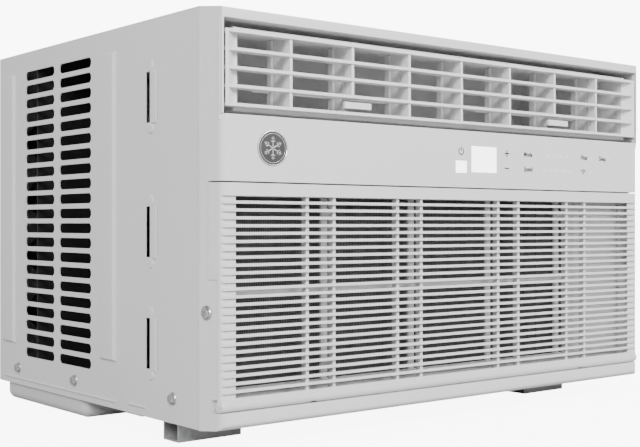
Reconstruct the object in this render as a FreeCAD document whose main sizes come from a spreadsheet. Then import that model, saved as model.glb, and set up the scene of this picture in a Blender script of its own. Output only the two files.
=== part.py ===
"""Window air conditioner: a room unit with a hinged intake grille, a tilting
louvre with turning vanes, and the refrigeration deck inside its steel cabinet.

Axes: +X to the viewer's right, +Y towards the outdoors, +Z up.
Origin: middle of the footprint, on the ground. Millimetres throughout.
Every size has a name in the Sizes sheet. A bare 1 past a face only makes a cutting
block or bore longer than the wall it goes through.
"""
import FreeCAD
import Part
import os
import re

import Sketcher

V = FreeCAD.Vector
doc = FreeCAD.newDocument("WindowAirConditioner")

# ---------------------------------------------------------------- sizes
SIZES = {
    # overall
    "width": 472.0, "depth": 378.0, "bodyHigh": 298.7, "sumpDrop": 15.5,
    # materials and general fits
    "sheet": 1.0, "wall": 2.5, "gap": 0.3, "runGap": 0.05,
    # front panel zones, measured upwards
    "lipHigh": 13.3, "bandHigh": 47.0, "louvreHigh": 67.0, "topBand": 9.2,
    "panelDeep": 20.5, "taper": 6.35, "crease": 1.2, "softCrease": 6.0,
    "grilleSeat": 4.5, "tabSeat": 12.6, "tabHigh": 69.3, "edgeDrop": 1.5, "mouthSide": 7.7,
    "intakeLap": 4.0, "intakeFoot": 12.0, "intakeHead": 9.0, "filterHead": 5.0,
    "cheekIn": 7.0, "cheekThick": 2.0, "bossHalf": 8.0, "bossFront": 9.0,
    "catchHalf": 6.0, "catchFront": 2.0, "catchBack": 17.0, "catchFoot": 8.0, "catchHead": 1.5,
    "bezelScrewIn": 13.9, "bezelScrewDrop": 23.2, "counterDeep": 2.8,
    # intake grille
    "slotHigh": 3.4, "slotMargin": 10.2, "intakeSide": 18.4, "grooveDeep": 1.7,
    "grilleRibWide": 2.6, "grilleRibDeep": 5.0, "hingePinRadius": 1.2, "beadRadius": 4.4,
    "clevisWide": 4.0, "eyeRadius": 2.6, "clevisAt": 150.0,
    "filterDeep": 3.0, "filterRim": 4.0, "filterPlay": 0.4, "filterBar": 6.0, "shutterLap": 10.3,
    "meshBack": 0.2, "meshThick": 0.7, "catchTabHalf": 4.0, "catchTabDeep": 16.0,
    "postHigh": 6.0, "postIn": 20.0, "pinLong": 10.0, "ribOuter": 155.8, "ribOuterTwin": 131.1,
    "ribInner": 68.5, "ribInnerTwin": 43.7,
    # louvre
    "bladeHigh": 2.3, "bladeDeep": 10.0, "bladeEnd": 7.0, "bladePitch": 12.95, "louvreSide": 9.2,
    "louvreAxisIn": 22.0, "barrelLift": 5.5, "ribWide": 2.4, "ribPitch": 57.0,
    "chamberDeep": 41.0, "chamberWall": 1.8, "chamberDrop": 2.5,
    "shelfThick": 2.8, "shelfDeep": 35.0, "shelfIn": 7.0, "trunnionRadius": 3.0,
    "vaneThick": 1.8, "vaneAhead": 14.2, "vaneBehind": 6.0, "vanePivotIn": 25.0,
    "vanePinRadius": 1.5, "crankArm": 4.5, "crankRadius": 1.2, "linkDeep": 3.0,
    "linkHigh": 3.0, "linkLift": 14.5, "vaneTabWide": 25.6, "vaneTabHigh": 4.8,
    "vaneTabShift": 6.0, "vaneTabThick": 2.5, "vaneEase": 0.6, "hubWall": 0.6,
    "cheekSide": 13.0, "flareWide": 4.0, "flareTip": 2.5, "collarWall": 2.5, "trunnionLong": 16.2,
    "linkLap": 15.0,
    # controls
    "displayWide": 29.2, "displayHigh": 21.7, "displayX": 25.0, "displayLift": 23.9,
    "receiverWide": 12.3, "receiverHigh": 10.1, "receiverX": -1.4, "receiverLift": 17.1,
    "badgeRadius": 12.75, "badgeX": 187.8, "badgeLift": 24.3, "badgeProud": 0.8,
    "badgeThick": 1.7, "badgeRim": 1.2, "badgeGroove": 0.8, "badgeGrooveDeep": 0.5,
    "boardLeft": 52.0, "boardRight": 160.0, "boardMargin": 6.0, "boardBack": 1.5,
    # cabinet
    "ventLong": 59.7, "ventHigh": 8.2, "ventCorner": 2.4, "ventFirst": 189.0,
    "ventColumn": 70.0, "ventFoot": 27.4, "ventHead": 17.8,
    "stripWide": 25.0, "stripProud": 3.0, "stripEase": 2.4, "stripFoot": 38.1, "stripHead": 17.9,
    "hookIn": 80.1, "hookWide": 9.5, "hookHigh": 40.0, "hookEase": 0.9, "hookProud": 1.2,
    "hookSlit": 8.0, "hookRelief": 0.9, "domeRadius": 4.2,
    "hookFirst": 35.9, "hookMid": 119.6, "hookTop": 38.3, "stripFirst": 145.0, "stripSecond": 341.0,
    "seamRadius": 1.1, "seamFront": 98.0, "seamLong": 26.0, "seamLift": 7.5,
    "railFront": 145.0, "railLong": 219.2, "railLift": 6.3,
    "screwRear": 334.5, "screwMid": 219.3, "screwFront": 57.1, "screwLift": 15.5,
    "screwFrontLift": 18.5, "shankLong": 9.0, "washerThick": 1.0,
    "guardSlot": 6.5, "guardSlotFoot": 8.0, "guardSlotSide": 6.0, "guardSlotCorner": 2.0,
    "guardRib": 16.0,
    "sumpFront": 207.0, "sumpBack": 10.0, "sumpInset": 2.5, "panFlange": 24.0,
    "sumpCorner": 8.0, "drawDeep": 3.0, "drawFront": 118.0, "drawBack": 146.0, "drawSide": 8.0,
    "drainAcross": 141.6, "drainIn": 40.0, "drainRadius": 9.0, "plugFlange": 12.0, "plugThick": 2.0,
    "footWide": 54.0, "footDeep": 22.0, "footIn": 63.0, "footThick": 1.5,
    "footLeftSide": 35.0, "footRightSide": 69.0,
    "screwRadius": 2.0, "headRadius": 3.8, "headHigh": 2.6, "washerRadius": 5.0,
    # air path
    "motorRadius": 42.0, "motorLong": 68.0, "shaftRadius": 4.0, "wheelSpare": 23.75,
    "wheelFront": 16.0, "scrollGap": 12.0, "fanDeep": 28.0, "fanSpare": 47.8,
    "boardThick": 1.6, "airShift": 44.8, "airLift": 15.2, "bulkheadIn": 143.6, "fanIn": 264.6,
    "scrollWall": 2.0, "shaftHole": 16.0, "throatRight": 20.0, "ductIn": 20.5, "roomIn": 10.0,
    "ductWall": 6.0, "ductRoof": 4.0, "ringLong": 12.0, "ringWall": 1.5, "ringGap": 7.5,
    "standSide": 14.0, "standWall": 2.0, "standFront": 20.0, "standBack": 16.0, "motorIn": 12.0,
    "wheelBlade": 10.0, "bladeGauge": 1.2, "wheelHub": 12.0, "wheelHubLong": 18.0, "bladeLean": 28.0,
    "fanHub": 24.0, "slingerLong": 8.0, "slingerWall": 2.0, "fanBladeWide": 46.0,
    # refrigeration
    "coilTube": 4.0, "evapDeep": 25.0, "condDeep": 30.0, "finBlock": 6.0, "tubeLap": 4.0,
    "compRadius": 50.0, "compSide": 30.2, "compBack": 14.2, "compHigh": 164.0,
    "condSide": 37.8, "evapSide": 25.0, "boxWide": 85.5, "boxSide": 16.0,
    "bendRoom": 21.2, "lineRadius": 3.5, "accRadius": 16.0, "canShoulder": 16.0,
    "accFoot": 45.0, "accLong": 74.0, "plateLap": 6.0, "plateThick": 3.0, "grommetHole": 6.0,
    "grommetRadius": 9.0, "grommetHigh": 13.6, "studRadius": 3.0, "studLong": 28.0, "nutHigh": 5.0,
    "capRadius": 16.0, "capHigh": 14.0, "capWall": 1.5, "drierRadius": 9.0, "drierLong": 90.0,
    "drierFoot": 60.0, "drierSide": 30.0, "drierIn": 26.0, "drierNeck": 5.0, "lineRise": 40.0,
    "dischargeX": 24.0, "dischargeRise": 26.0, "dischargeJog": 30.0, "liquidRise": 60.0,
    # supply lead inlet
    "glandRadius": 7.5, "leadRadius": 4.2, "glandIn": 34.0, "glandLift": 42.0, "glandLong": 8.0,
    "glandRim": 2.0,
    # power box
    "boxDeep": 40.0, "boxIn": 4.0, "coverGap": 0.3, "coverThick": 1.7, "powerMargin": 6.0,
    "powerFoot": 50.0, "powerBack": 8.0, "canRadius": 14.0, "canHigh": 40.0, "canIn": 19.0,
}
DERIVED = {
    "halfWide": "width / 2", "frontY": "-depth / 2", "backY": "depth / 2",
    "drainX": "drainAcross / 472 * width", "drainY": "backY - drainIn",
    "floorZ": "sumpDrop", "topZ": "sumpDrop + bodyHigh",
    "seamY": "frontY + panelDeep",
    "lipZ": "floorZ + lipHigh",
    "louvreTopZ": "topZ - topBand",
    "louvreFootZ": "louvreTopZ - louvreHigh",
    "bandZ": "louvreFootZ - bandHigh",
    "grilleHigh": "bandZ - lipZ",
    "slotPitch": "(grilleHigh - 2 * slotMargin - slotHigh) / 25",
    "intakeHalf": "halfWide - intakeSide",
    "hingeY": "frontY + beadRadius + 0.1",
    "hingeZ": "lipZ + gap + beadRadius",
    "tiltY": "frontY + louvreAxisIn",
    "tiltZ": "louvreFootZ + louvreHigh / 2 - 0.5",
    "barrelHalf": "halfWide - louvreSide",
    "barrelFootZ": "louvreFootZ + barrelLift",
    "barrelTopZ": "barrelFootZ + 4 * bladePitch + bladeHigh",
    "pivotY": "frontY + vanePivotIn",
    "crankY": "pivotY + crankArm",
    "linkZ": "barrelFootZ + linkLift",
    "ductFootZ": "barrelFootZ - 7.5",
    "airX": "-airShift", "airZ": "(floorZ + ductFootZ) / 2 + airLift",
    "bulkheadY": "frontY + bulkheadIn / 378 * depth", "wheelBackY": "bulkheadY - 6",
    "fanRadius": "bodyHigh / 2 - fanSpare", "fanY": "frontY + fanIn / 378 * depth",
    "shroudY": "fanY + fanDeep + 6",
    "boxHighX": "halfWide - boxSide", "boxLowX": "boxHighX - boxWide",
    "evapLowX": "-halfWide + evapSide", "evapHighX": "boxLowX - bendRoom",
    "evapY": "seamY + 20", "evapFootZ": "lipZ + 6", "evapTopZ": "bandZ - 6",
    "wheelLong": "wheelBackY - evapY - evapDeep - wheelFront",
    "wheelRadius": "(ductFootZ - floorZ - sheet) / 2 - scrollGap - wheelSpare",
    "condHalf": "halfWide - condSide", "condLowX": "-condHalf",
    "condY": "backY - condDeep - 9",
    "condFootZ": "floorZ + 12", "condTopZ": "topZ - 24",
    "compX": "halfWide - compRadius - compSide", "compY": "shroudY - compRadius - compBack",
    "compFootZ": "floorZ + sheet + 14",
    "accX": "compX - compRadius - accRadius - 8",
    "ventPitch": "(bodyHigh - ventFoot - ventHead - ventHigh) / 20",
}
ROWS = list(SIZES.items()) + [(name, "=" + text) for name, text in DERIVED.items()]
sizes = doc.addObject("Spreadsheet::Sheet", "Sizes")
for row, (name, value) in enumerate(ROWS, start=1):
    sizes.set("A%d" % row, name)
    sizes.set("B%d" % row, str(value))
    sizes.setAlias("B%d" % row, name)
doc.recompute()
NAMES = {name for name, value in ROWS}
WORD = re.compile(r"[A-Za-z]\w*")


def linked(text):
    """Write an expression on size names as one that reads the spreadsheet."""
    return WORD.sub(lambda m: "Sizes." + m[0] if m[0] in NAMES else m[0], str(text))


def bind(feature, prop, text):
    feature.setExpression(prop, linked(text))


def val(name):
    return float(sizes.get(name))


# ---------------------------------------------------------------- solids
def box(x, y, z):
    """A block from three (low, high) pairs of expressions."""
    block = doc.addObject("Part::Box", "Block")
    for prop, axis, pair in zip(("Length", "Width", "Height"), "xyz", (x, y, z)):
        bind(block, "Placement.Base." + axis, pair[0])
        bind(block, prop, "(%s) - (%s)" % (pair[1], pair[0]))
    return block


TURNS = {
    "x": FreeCAD.Rotation(V(0, 1, 0), 90),
    "y": FreeCAD.Rotation(V(1, 0, 0), -90),
    "z": FreeCAD.Rotation(),
}


def rod(axis, at, radius, length):
    """A cylinder that starts at a point and runs along one positive axis."""
    round_bar = doc.addObject("Part::Cylinder", "Rod")
    round_bar.Placement = FreeCAD.Placement(V(), TURNS[axis])
    for letter, text in zip("xyz", at):
        bind(round_bar, "Placement.Base." + letter, text)
    bind(round_bar, "Radius", radius)
    bind(round_bar, "Height", length)
    return round_bar


def tapered(front_x, back_x, y, front_z, back_z):
    """A block whose front and back faces differ, as pairs of expressions."""
    solid = doc.addObject("Part::Wedge", "Tapered")
    pairs = {"X": front_x, "Y": y, "Z": front_z, "X2": back_x, "Z2": back_z}
    for letter, (low, high) in pairs.items():
        bind(solid, letter + "min", low)
        bind(solid, letter + "max", high)
    return solid


def ball(at, radius):
    round_end = doc.addObject("Part::Sphere", "Ball")
    for letter, text in zip("xyz", at):
        bind(round_end, "Placement.Base." + letter, text)
    bind(round_end, "Radius", radius)
    return round_end


def fuse(*solids):
    if len(solids) == 1:
        return solids[0]
    joined = doc.addObject("Part::MultiFuse", "Joined")
    joined.Shapes = list(solids)
    return joined


def cut(base, *tools):
    pierced = doc.addObject("Part::Cut", "Pierced")
    pierced.Base = base
    pierced.Tool = fuse(*tools)
    return pierced


def group(*solids):
    """Loose copies of one small piece, kept as one sub-part."""
    loose = doc.addObject("Part::Compound", "Loose")
    loose.Links = list(solids)
    return loose


def rounded(base, radius, chosen):
    """Round the edges whose middle point passes the test."""
    doc.recompute()
    soft = doc.addObject("Part::Fillet", "Rounded")
    soft.Base = base
    size = float(sizes.evalExpression(radius))
    picks = []
    for index, edge in enumerate(base.Shape.Edges, start=1):
        middle = edge.valueAt((edge.FirstParameter + edge.LastParameter) / 2)
        if chosen(middle, edge):
            picks.append((index, size, size))
    soft.Edges = picks
    return soft


def new_body(label):
    body = doc.addObject("PartDesign::Body", label)
    body.Label = label
    return body


def outline(body, role, offset, points):
    """A closed sketch on a base plane; each corner is driven by the sheet."""
    plane = [f for f in body.Origin.OriginFeatures if f.Role == role][0]
    sketch = body.newObject("Sketcher::SketchObject", "Outline")
    sketch.AttachmentSupport = [(plane, "")]
    sketch.MapMode = "FlatFace"
    bind(sketch, "AttachmentOffset.Base.z", offset)
    doc.recompute()
    corners = [[float(doc.Sizes.evalExpression(str(t))) for t in p] for p in points]
    count = len(points)
    for index in range(count):
        start = V(*corners[index], 0)
        end = V(*corners[(index + 1) % count], 0)
        sketch.addGeometry(Part.LineSegment(start, end), False)
    for index in range(count):
        sketch.addConstraint(Sketcher.Constraint("Coincident", index, 2, (index + 1) % count, 1))
    for index, (across, up) in enumerate(points):
        for kind, text, place in (("DistanceX", across, 0), ("DistanceY", up, 1)):
            number = sketch.addConstraint(
                Sketcher.Constraint(kind, -1, 1, index, 1, corners[index][place]))
            sketch.setExpression("Constraints[%d]" % number, linked(text))
    return sketch


def pad(body, sketch, length):
    feature = body.newObject("PartDesign::Pad", "Pad")
    feature.Profile = sketch
    bind(feature, "Length", length)
    return feature


def through_pocket(body, sketch):
    feature = body.newObject("PartDesign::Pocket", "Pocket")
    feature.Profile = sketch
    feature.SideType = "Symmetric"
    feature.Type = "ThroughAll"
    return feature


def repeat(body, feature, sketch, length, count, length2, count2):
    """Repeat a feature up the sketch's vertical axis and along its other one."""
    pattern = body.newObject("PartDesign::LinearPattern", "Rows")
    pattern.Originals = [feature]
    pattern.Direction = (sketch, ["V_Axis"])
    bind(pattern, "Length", length)
    pattern.Occurrences = count
    pattern.Direction2 = (sketch, ["H_Axis"])
    bind(pattern, "Length2", length2)
    pattern.Occurrences2 = count2
    body.Tip = pattern
    return pattern


def slot_points(low_u, high_u, low_v, high_v, corner):
    """Eight corners of a slot with clipped ends."""
    return [
        ("%s + %s" % (low_u, corner), low_v), ("%s - %s" % (high_u, corner), low_v),
        (high_u, "%s + %s" % (low_v, corner)), (high_u, "%s - %s" % (high_v, corner)),
        ("%s - %s" % (high_u, corner), high_v), ("%s + %s" % (low_u, corner), high_v),
        (low_u, "%s - %s" % (high_v, corner)), (low_u, "%s + %s" % (low_v, corner)),
    ]


PARTS = []


def keep(label, feature):
    """Give a finished sub-part its name."""
    feature.Label = label
    PARTS.append(feature)
    return feature


def keep_shape(label, shape, at):
    """A sub-part whose form no primitive or sketch gives directly."""
    feature = doc.addObject("Part::Feature", label)
    feature.Shape = shape
    feature.Placement = FreeCAD.Placement(at, FreeCAD.Rotation())
    return keep(label, feature)


def both(text):
    """A span centred on the middle plane."""
    return ("-(%s)" % text, text)


# ---------------------------------------------------------------- chassis
def base_pan():
    """Pressed steel tray; the drain sump drops to the ground under the coil."""
    half = "halfWide - sheet - gap"
    tray = box(both(half), ("seamY + 1", "backY - 3"), ("floorZ", "floorZ + panFlange"))
    sump = box(both("halfWide - sumpInset"), ("frontY + sumpFront", "backY - sumpBack"),
               ("0", "floorZ + sheet / 2"))
    sump = rounded(sump, "sumpCorner", drawn)
    draw = box(both("halfWide - drawSide"), ("frontY + drawFront", "frontY + drawBack"),
               ("floorZ - drawDeep", "floorZ + sheet / 2"))
    inner = box(both(half + " - sheet"), ("seamY + 1 + sheet", "backY - 3 - sheet"),
                ("floorZ + sheet", "floorZ + panFlange + 1"))
    well = box(both("halfWide - sumpInset - sheet"),
               ("frontY + sumpFront + sheet", "backY - sumpBack - sheet"),
               ("sheet", "floorZ + 2 * sheet"))
    well = rounded(well, "sumpCorner - sheet", drawn)
    holes = [screw_hole("base", y, z) for y, z in SIDE_SCREWS]
    drain = rod("z", ("drainX", "drainY", "-1"), "drainRadius", "4")
    feet = [rod("z", (x, "frontY + footIn + footDeep / 2", "floorZ - 1"), "screwRadius + gap", "4")
            for x in FOOT_SCREWS]
    keep("base_pan", cut(fuse(tray, sump, draw), inner, well, drain, *holes, *feet))


def drawn(middle, edge):
    """The upright and bottom edges that a press tool leaves round."""
    return middle.z < val("floorZ") / 2 + 2


SIDE_SCREWS = [("frontY + screwRear / 378 * depth", "floorZ + screwLift"),
               ("frontY + screwMid / 378 * depth", "floorZ + screwLift"),
               ("frontY + screwFront", "floorZ + screwFrontLift")]
FOOT_SCREWS = ["-halfWide + footLeftSide", "halfWide - footRightSide"]


def screw_hole(kind, y, z):
    """A clearance hole that runs across both side walls."""
    return rod("x", ("-halfWide - 5", y, z), "screwRadius + gap", "width + 10")


def cabinet_shell():
    """Folded steel hood: top and two sides, with stamped vents and hooks."""
    body = new_body("hood")
    foot = "floorZ + 0.5"
    points = [("-halfWide", foot), ("-halfWide", "topZ"), ("halfWide", "topZ"),
              ("halfWide", foot), ("halfWide - sheet", foot), ("halfWide - sheet", "topZ - sheet"),
              ("-halfWide + sheet", "topZ - sheet"), ("-halfWide + sheet", foot)]
    profile = outline(body, "XZ_Plane", "-backY", points)
    pad(body, profile, "backY - seamY - gap")
    slot = slot_points("frontY + ventFirst / 378 * depth",
                       "frontY + ventFirst / 378 * depth + ventLong",
                       "floorZ + ventFoot", "floorZ + ventFoot + ventHigh", "ventCorner")
    vent = outline(body, "YZ_Plane", "0", slot)
    hole = through_pocket(body, vent)
    repeat(body, hole, vent, "20 * ventPitch", 21, "ventColumn", 2)
    extras = []
    for side in (-1, 1):
        for start in ("stripFirst / 378 * depth", "stripSecond / 378 * depth"):
            outer = ("halfWide - sheet / 2", "halfWide + stripProud")
            span = outer if side > 0 else tuple("-(%s)" % t for t in reversed(outer))
            strip = box(span, ("frontY + " + start, "frontY + %s + stripWide" % start),
                        ("floorZ + stripFoot", "topZ - stripHead"))
            extras.append(rounded(strip, "stripEase", on_side))
        for rise in HOOK_RISES:
            extras.append(hook(side, rise))
            extras.append(hook_dome(side, rise + " - domeRadius + 1"))
            extras.append(hook_dome(side, rise + " + hookHigh + domeRadius - 1"))
        extras.append(bead(side, "frontY + seamFront", "seamLong", "floorZ + seamLift"))
        extras.append(bead(side, "frontY + railFront", "railLong / 378 * depth",
                           "floorZ + railLift"))
    shell = fuse(body, *extras)
    holes = [screw_hole("hood", y, z) for y, z in SIDE_SCREWS]
    gland = rod("x", ("halfWide - 5", "frontY + glandIn", "floorZ + glandLift"),
                "glandRadius + gap", "10")
    slits = [slit for rise in HOOK_RISES for slit in hook_slits(rise)]
    keep("cabinet_shell", cut(shell, gland, *slits, *holes))


def on_side(middle, edge):
    return abs(middle.x) > val("halfWide") + val("stripProud") - 0.05


def on_hook(middle, edge):
    return abs(middle.x) > val("halfWide") + val("hookProud") - 0.05


HOOK_RISES = ["floorZ + hookFirst", "floorZ + hookMid / 298.7 * bodyHigh",
              "topZ - hookTop - hookHigh"]


def hook(side, low_z):
    """Lanced hook for the side curtain: a low eased strip between two slits."""
    outer = ("halfWide - sheet / 2", "halfWide + hookProud")
    span = outer if side > 0 else tuple("-(%s)" % t for t in reversed(outer))
    strip = box(span, ("frontY + hookIn", "frontY + hookIn + hookWide"),
                (low_z, low_z + " + hookHigh"))
    return rounded(strip, "hookEase", on_hook)


def hook_slits(low_z):
    """The cuts on either side of each hook, through both side walls: wide behind, narrow ahead."""
    height = (low_z + " + 1", low_z + " + hookHigh - 1")
    return [box(both("halfWide + 9"), ("frontY + hookIn + hookWide",
                                       "frontY + hookIn + hookWide + hookSlit"), height),
            box(both("halfWide + 9"), ("frontY + hookIn - hookRelief", "frontY + hookIn"), height)]


def hook_dome(side, z):
    """Shallow round boss that stops the sheet tearing at one end of a hook."""
    start = "halfWide - sheet / 2" if side > 0 else "-halfWide - hookProud"
    boss = rod("x", (start, "frontY + hookIn + hookWide", z), "domeRadius",
               "sheet / 2 + hookProud")
    return rounded(boss, "hookEase", on_hook)


def bead(side, low_y, long, z):
    """Stiffening bead rolled into the side near its lower edge."""
    x = "%d * halfWide" % side
    return rod("y", (x, low_y, z), "seamRadius", long)


def rear_grille():
    """Pressed steel guard over the outdoor coil."""
    body = new_body("guard")
    half = "halfWide - sheet - gap - 1"
    low, high = "floorZ + sheet + 2", "topZ - sheet - gap"
    points = [("-(%s)" % half, low), (half, low), (half, high), ("-(%s)" % half, high)]
    pad(body, outline(body, "XZ_Plane", "-backY", points), "sheet")
    slot = slot_points("-condHalf + guardSlotSide", "-guardRib / 2", "condFootZ + guardSlotFoot",
                       "condFootZ + guardSlotFoot + guardSlot", "guardSlotCorner")
    sketch = outline(body, "XZ_Plane", "-backY", slot)
    hole = through_pocket(body, sketch)
    repeat(body, hole, sketch, "condTopZ - condFootZ - 2 * guardSlotFoot - guardSlot - 3.5", 21,
           "condHalf - guardSlotSide + guardRib / 2", 2)
    keep("rear_grille", body)


def feet():
    """Folded channel feet under the front of the pan."""
    for label, x in (("foot_left", FOOT_SCREWS[0]), ("foot_right", FOOT_SCREWS[1])):
        low, high = "%s - footWide / 2" % x, "%s + footWide / 2" % x
        channel = box((low, high), ("frontY + footIn", "frontY + footIn + footDeep"),
                      ("0", "floorZ - gap"))
        inside = box((low + " - 1", high + " + 1"),
                     ("frontY + footIn + footThick", "frontY + footIn + footDeep - footThick"),
                     ("footThick", "floorZ - gap - footThick"))
        hole = rod("z", (x, "frontY + footIn + footDeep / 2", "-1"), "screwRadius + gap", "40")
        driver = rod("z", (x, "frontY + footIn + footDeep / 2", "-1"), "headRadius + 1", "4")
        keep(label, cut(channel, inside, hole, driver))
    screws = []
    for x in FOOT_SCREWS:
        y = "frontY + footIn + footDeep / 2"
        shank = rod("z", (x, y, "floorZ - gap - footThick - 1"), "screwRadius", "shankLong")
        head = rod("z", (x, y, "floorZ - gap - footThick - headHigh - 0.1"), "headRadius", "headHigh")
        screws.append(fuse(shank, head))
    keep("foot_screws", group(*screws))


def side_screw(side, y, z, at):
    """Hex washer-head screw driven through a side wall."""
    washer_x = "%s + runGap" % at if side > 0 else "-(%s) - runGap - washerThick" % at
    head_x = ("%s + runGap + washerThick / 2" % at if side > 0
              else "-(%s) - runGap - washerThick / 2 - headHigh" % at)
    shank_x = "%s + 1 - shankLong" % at if side > 0 else "-(%s) - 1" % at
    washer = rod("x", (washer_x, y, z), "washerRadius", "washerThick")
    shank = rod("x", (shank_x, y, z), "screwRadius", "shankLong")
    head = doc.addObject("Part::Prism", "Hex")
    head.Polygon = 6
    head.Placement = FreeCAD.Placement(V(), TURNS["x"])
    bind(head, "Circumradius", "headRadius")
    bind(head, "Height", "headHigh")
    for letter, text in zip("xyz", (head_x, y, z)):
        bind(head, "Placement.Base." + letter, text)
    return fuse(washer, shank, head)


def cabinet_screws():
    screws = [side_screw(side, y, z, "halfWide") for side in (-1, 1) for y, z in SIDE_SCREWS]
    keep("cabinet_screws", group(*screws))


# ---------------------------------------------------------------- front panel
def on_front(point):
    return point.y < val("frontY") + 0.1


def front_panel():
    """Moulded bezel: top band, louvre opening, control band, intake frame."""
    crown = tapered(both("halfWide - taper"), both("halfWide"), ("frontY", "seamY"),
                    ("louvreFootZ", "topZ - edgeDrop - 0.5"), ("louvreFootZ", "topZ"))
    crown = rounded(crown, "crease", lambda m, e: on_front(m) and m.z > val("louvreFootZ") + 1)
    apron = tapered(both("halfWide - taper"), both("halfWide"), ("frontY", "seamY"),
                    ("floorZ + edgeDrop", "louvreFootZ"), ("floorZ", "louvreFootZ"))
    apron = rounded(apron, "softCrease", lambda m, e: on_front(m) and m.z < val("bandZ") + 30)
    outer = fuse(crown, apron)
    upper = tapered(both("halfWide - taper - wall"), both("halfWide - wall"),
                    ("frontY + wall", "seamY + 1"),
                    ("bandZ + wall", "topZ - wall - 1"), ("bandZ + wall", "topZ - wall"))
    mouth = box(both("halfWide - mouthSide"), ("frontY - 1", "frontY + wall + 1"),
                ("louvreFootZ", "louvreTopZ"))
    seat = box(both("halfWide + 1"), ("frontY - 1", "frontY + grilleSeat"), ("lipZ", "bandZ"))
    tab_seat = box(both("halfWide + 1"), ("frontY - 1", "frontY + tabSeat"),
                   ("bandZ - tabHigh", "bandZ"))
    bead_seat = box(both("halfWide + 1"), ("frontY - 1", "frontY + 2 * beadRadius + 0.5"),
                    ("lipZ", "hingeZ + beadRadius + gap"))
    filter_seat = box(both("intakeHalf + 1"), ("frontY - 1", "seamY - wall"),
                      ("hingeZ", "bandZ - filterHead"))
    intake = box(both("intakeHalf - intakeLap"), ("frontY - 1", "seamY + 1"),
                 ("lipZ + intakeFoot", "bandZ - intakeHead"))
    lip_hollow = box(both("halfWide - 10"), ("frontY + wall", "seamY + 1"),
                     ("floorZ + wall", "lipZ - wall"))
    catches = [box(("%s - catchHalf" % x, "%s + catchHalf" % x),
                   ("frontY + catchFront", "frontY + catchBack"),
                   ("bandZ - catchFoot", "bandZ - catchHead")) for x in ("-clevisAt", "clevisAt")]
    display = box(("displayX - displayWide / 2 - gap", "displayX + displayWide / 2 + gap"),
                  ("frontY - 1", "frontY + wall + 1"),
                  ("bandZ + displayLift - displayHigh / 2 - gap",
                   "bandZ + displayLift + displayHigh / 2 + gap"))
    receiver = box(("receiverX - receiverWide / 2 - gap", "receiverX + receiverWide / 2 + gap"),
                   ("frontY - 1", "frontY + wall + 1"),
                   ("bandZ + receiverLift - receiverHigh / 2 - gap",
                    "bandZ + receiverLift + receiverHigh / 2 + gap"))
    medallion = rod("y", ("-badgeX", "frontY - 1", "bandZ + badgeLift"), "badgeRadius + gap", "2")
    shell = cut(outer, upper, mouth, seat, tab_seat, bead_seat, filter_seat, intake, lip_hollow,
                display, receiver, medallion, *catches)
    bosses = []
    boss_z = ("tiltZ - bossHalf", "tiltZ + bossHalf")
    for low, high in (("halfWide - cheekIn", "halfWide - wall - 0.5"),
                      ("-(halfWide - wall - 0.5)", "-(halfWide - cheekIn)")):
        bosses.append(box((low, high), ("tiltY - bossFront", "tiltY + bossHalf"), boss_z))
    for low, high in (("halfWide - cheekIn", "halfWide - cheekThick"),
                      ("-(halfWide - cheekThick)", "-(halfWide - cheekIn)")):
        bosses.append(box((low, high), ("tiltY - bossFront", "seamY - 4"), boss_z))
    chamber_y = ("frontY + wall - 0.5", "frontY + chamberDeep")
    ceiling = box(both("halfWide - cheekIn"), chamber_y,
                  ("louvreTopZ", "louvreTopZ + chamberWall"))
    floor = box(both("halfWide - cheekIn"), chamber_y,
                ("louvreFootZ - chamberDrop - chamberWall", "louvreFootZ - chamberDrop"))
    cheeks = []
    for low, high in (("halfWide - cheekIn", "halfWide - cheekIn + cheekThick"),
                      ("-(halfWide - cheekIn + cheekThick)", "-(halfWide - cheekIn)")):
        cheeks.append(box((low, high), chamber_y, ("louvreFootZ - chamberDrop - chamberWall",
                                                   "louvreTopZ + chamberWall")))
    clevises = []
    for x in ("-clevisAt", "clevisAt"):
        low = x + " - clevisWide / 2"
        clevises.append(rod("x", (low, "hingeY", "hingeZ"), "eyeRadius", "clevisWide"))
        clevises.append(box((low, x + " + clevisWide / 2"), ("hingeY", "hingeY + 6"),
                            ("hingeZ - eyeRadius", "hingeZ + eyeRadius")))
    tilt_bore = rod("x", ("-halfWide + 1.2", "tiltY", "tiltZ"), "trunnionRadius + runGap",
                    "width - 2.4")
    hinge_bore = rod("x", ("-clevisAt - 9", "hingeY", "hingeZ"), "hingePinRadius + runGap",
                     "2 * clevisAt + 18")
    screw_y, screw_z = "frontY + bezelScrewIn", "bandZ - tabHigh - bezelScrewDrop"
    side_bore = rod("x", ("-halfWide - 1", screw_y, screw_z), "screwRadius + gap", "width + 2")
    counter = [rod("x", (x, screw_y, screw_z), "washerRadius + gap", "4")
               for x in ("-halfWide - 4 + counterDeep", "halfWide - counterDeep")]
    body = fuse(shell, ceiling, floor, *cheeks, *bosses, *clevises)
    keep("front_panel", cut(body, tilt_bore, hinge_bore, side_bore, *counter))
    screws = [side_screw(side, screw_y, screw_z, "halfWide - counterDeep") for side in (-1, 1)]
    keep("bezel_screws", group(*screws))


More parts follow.
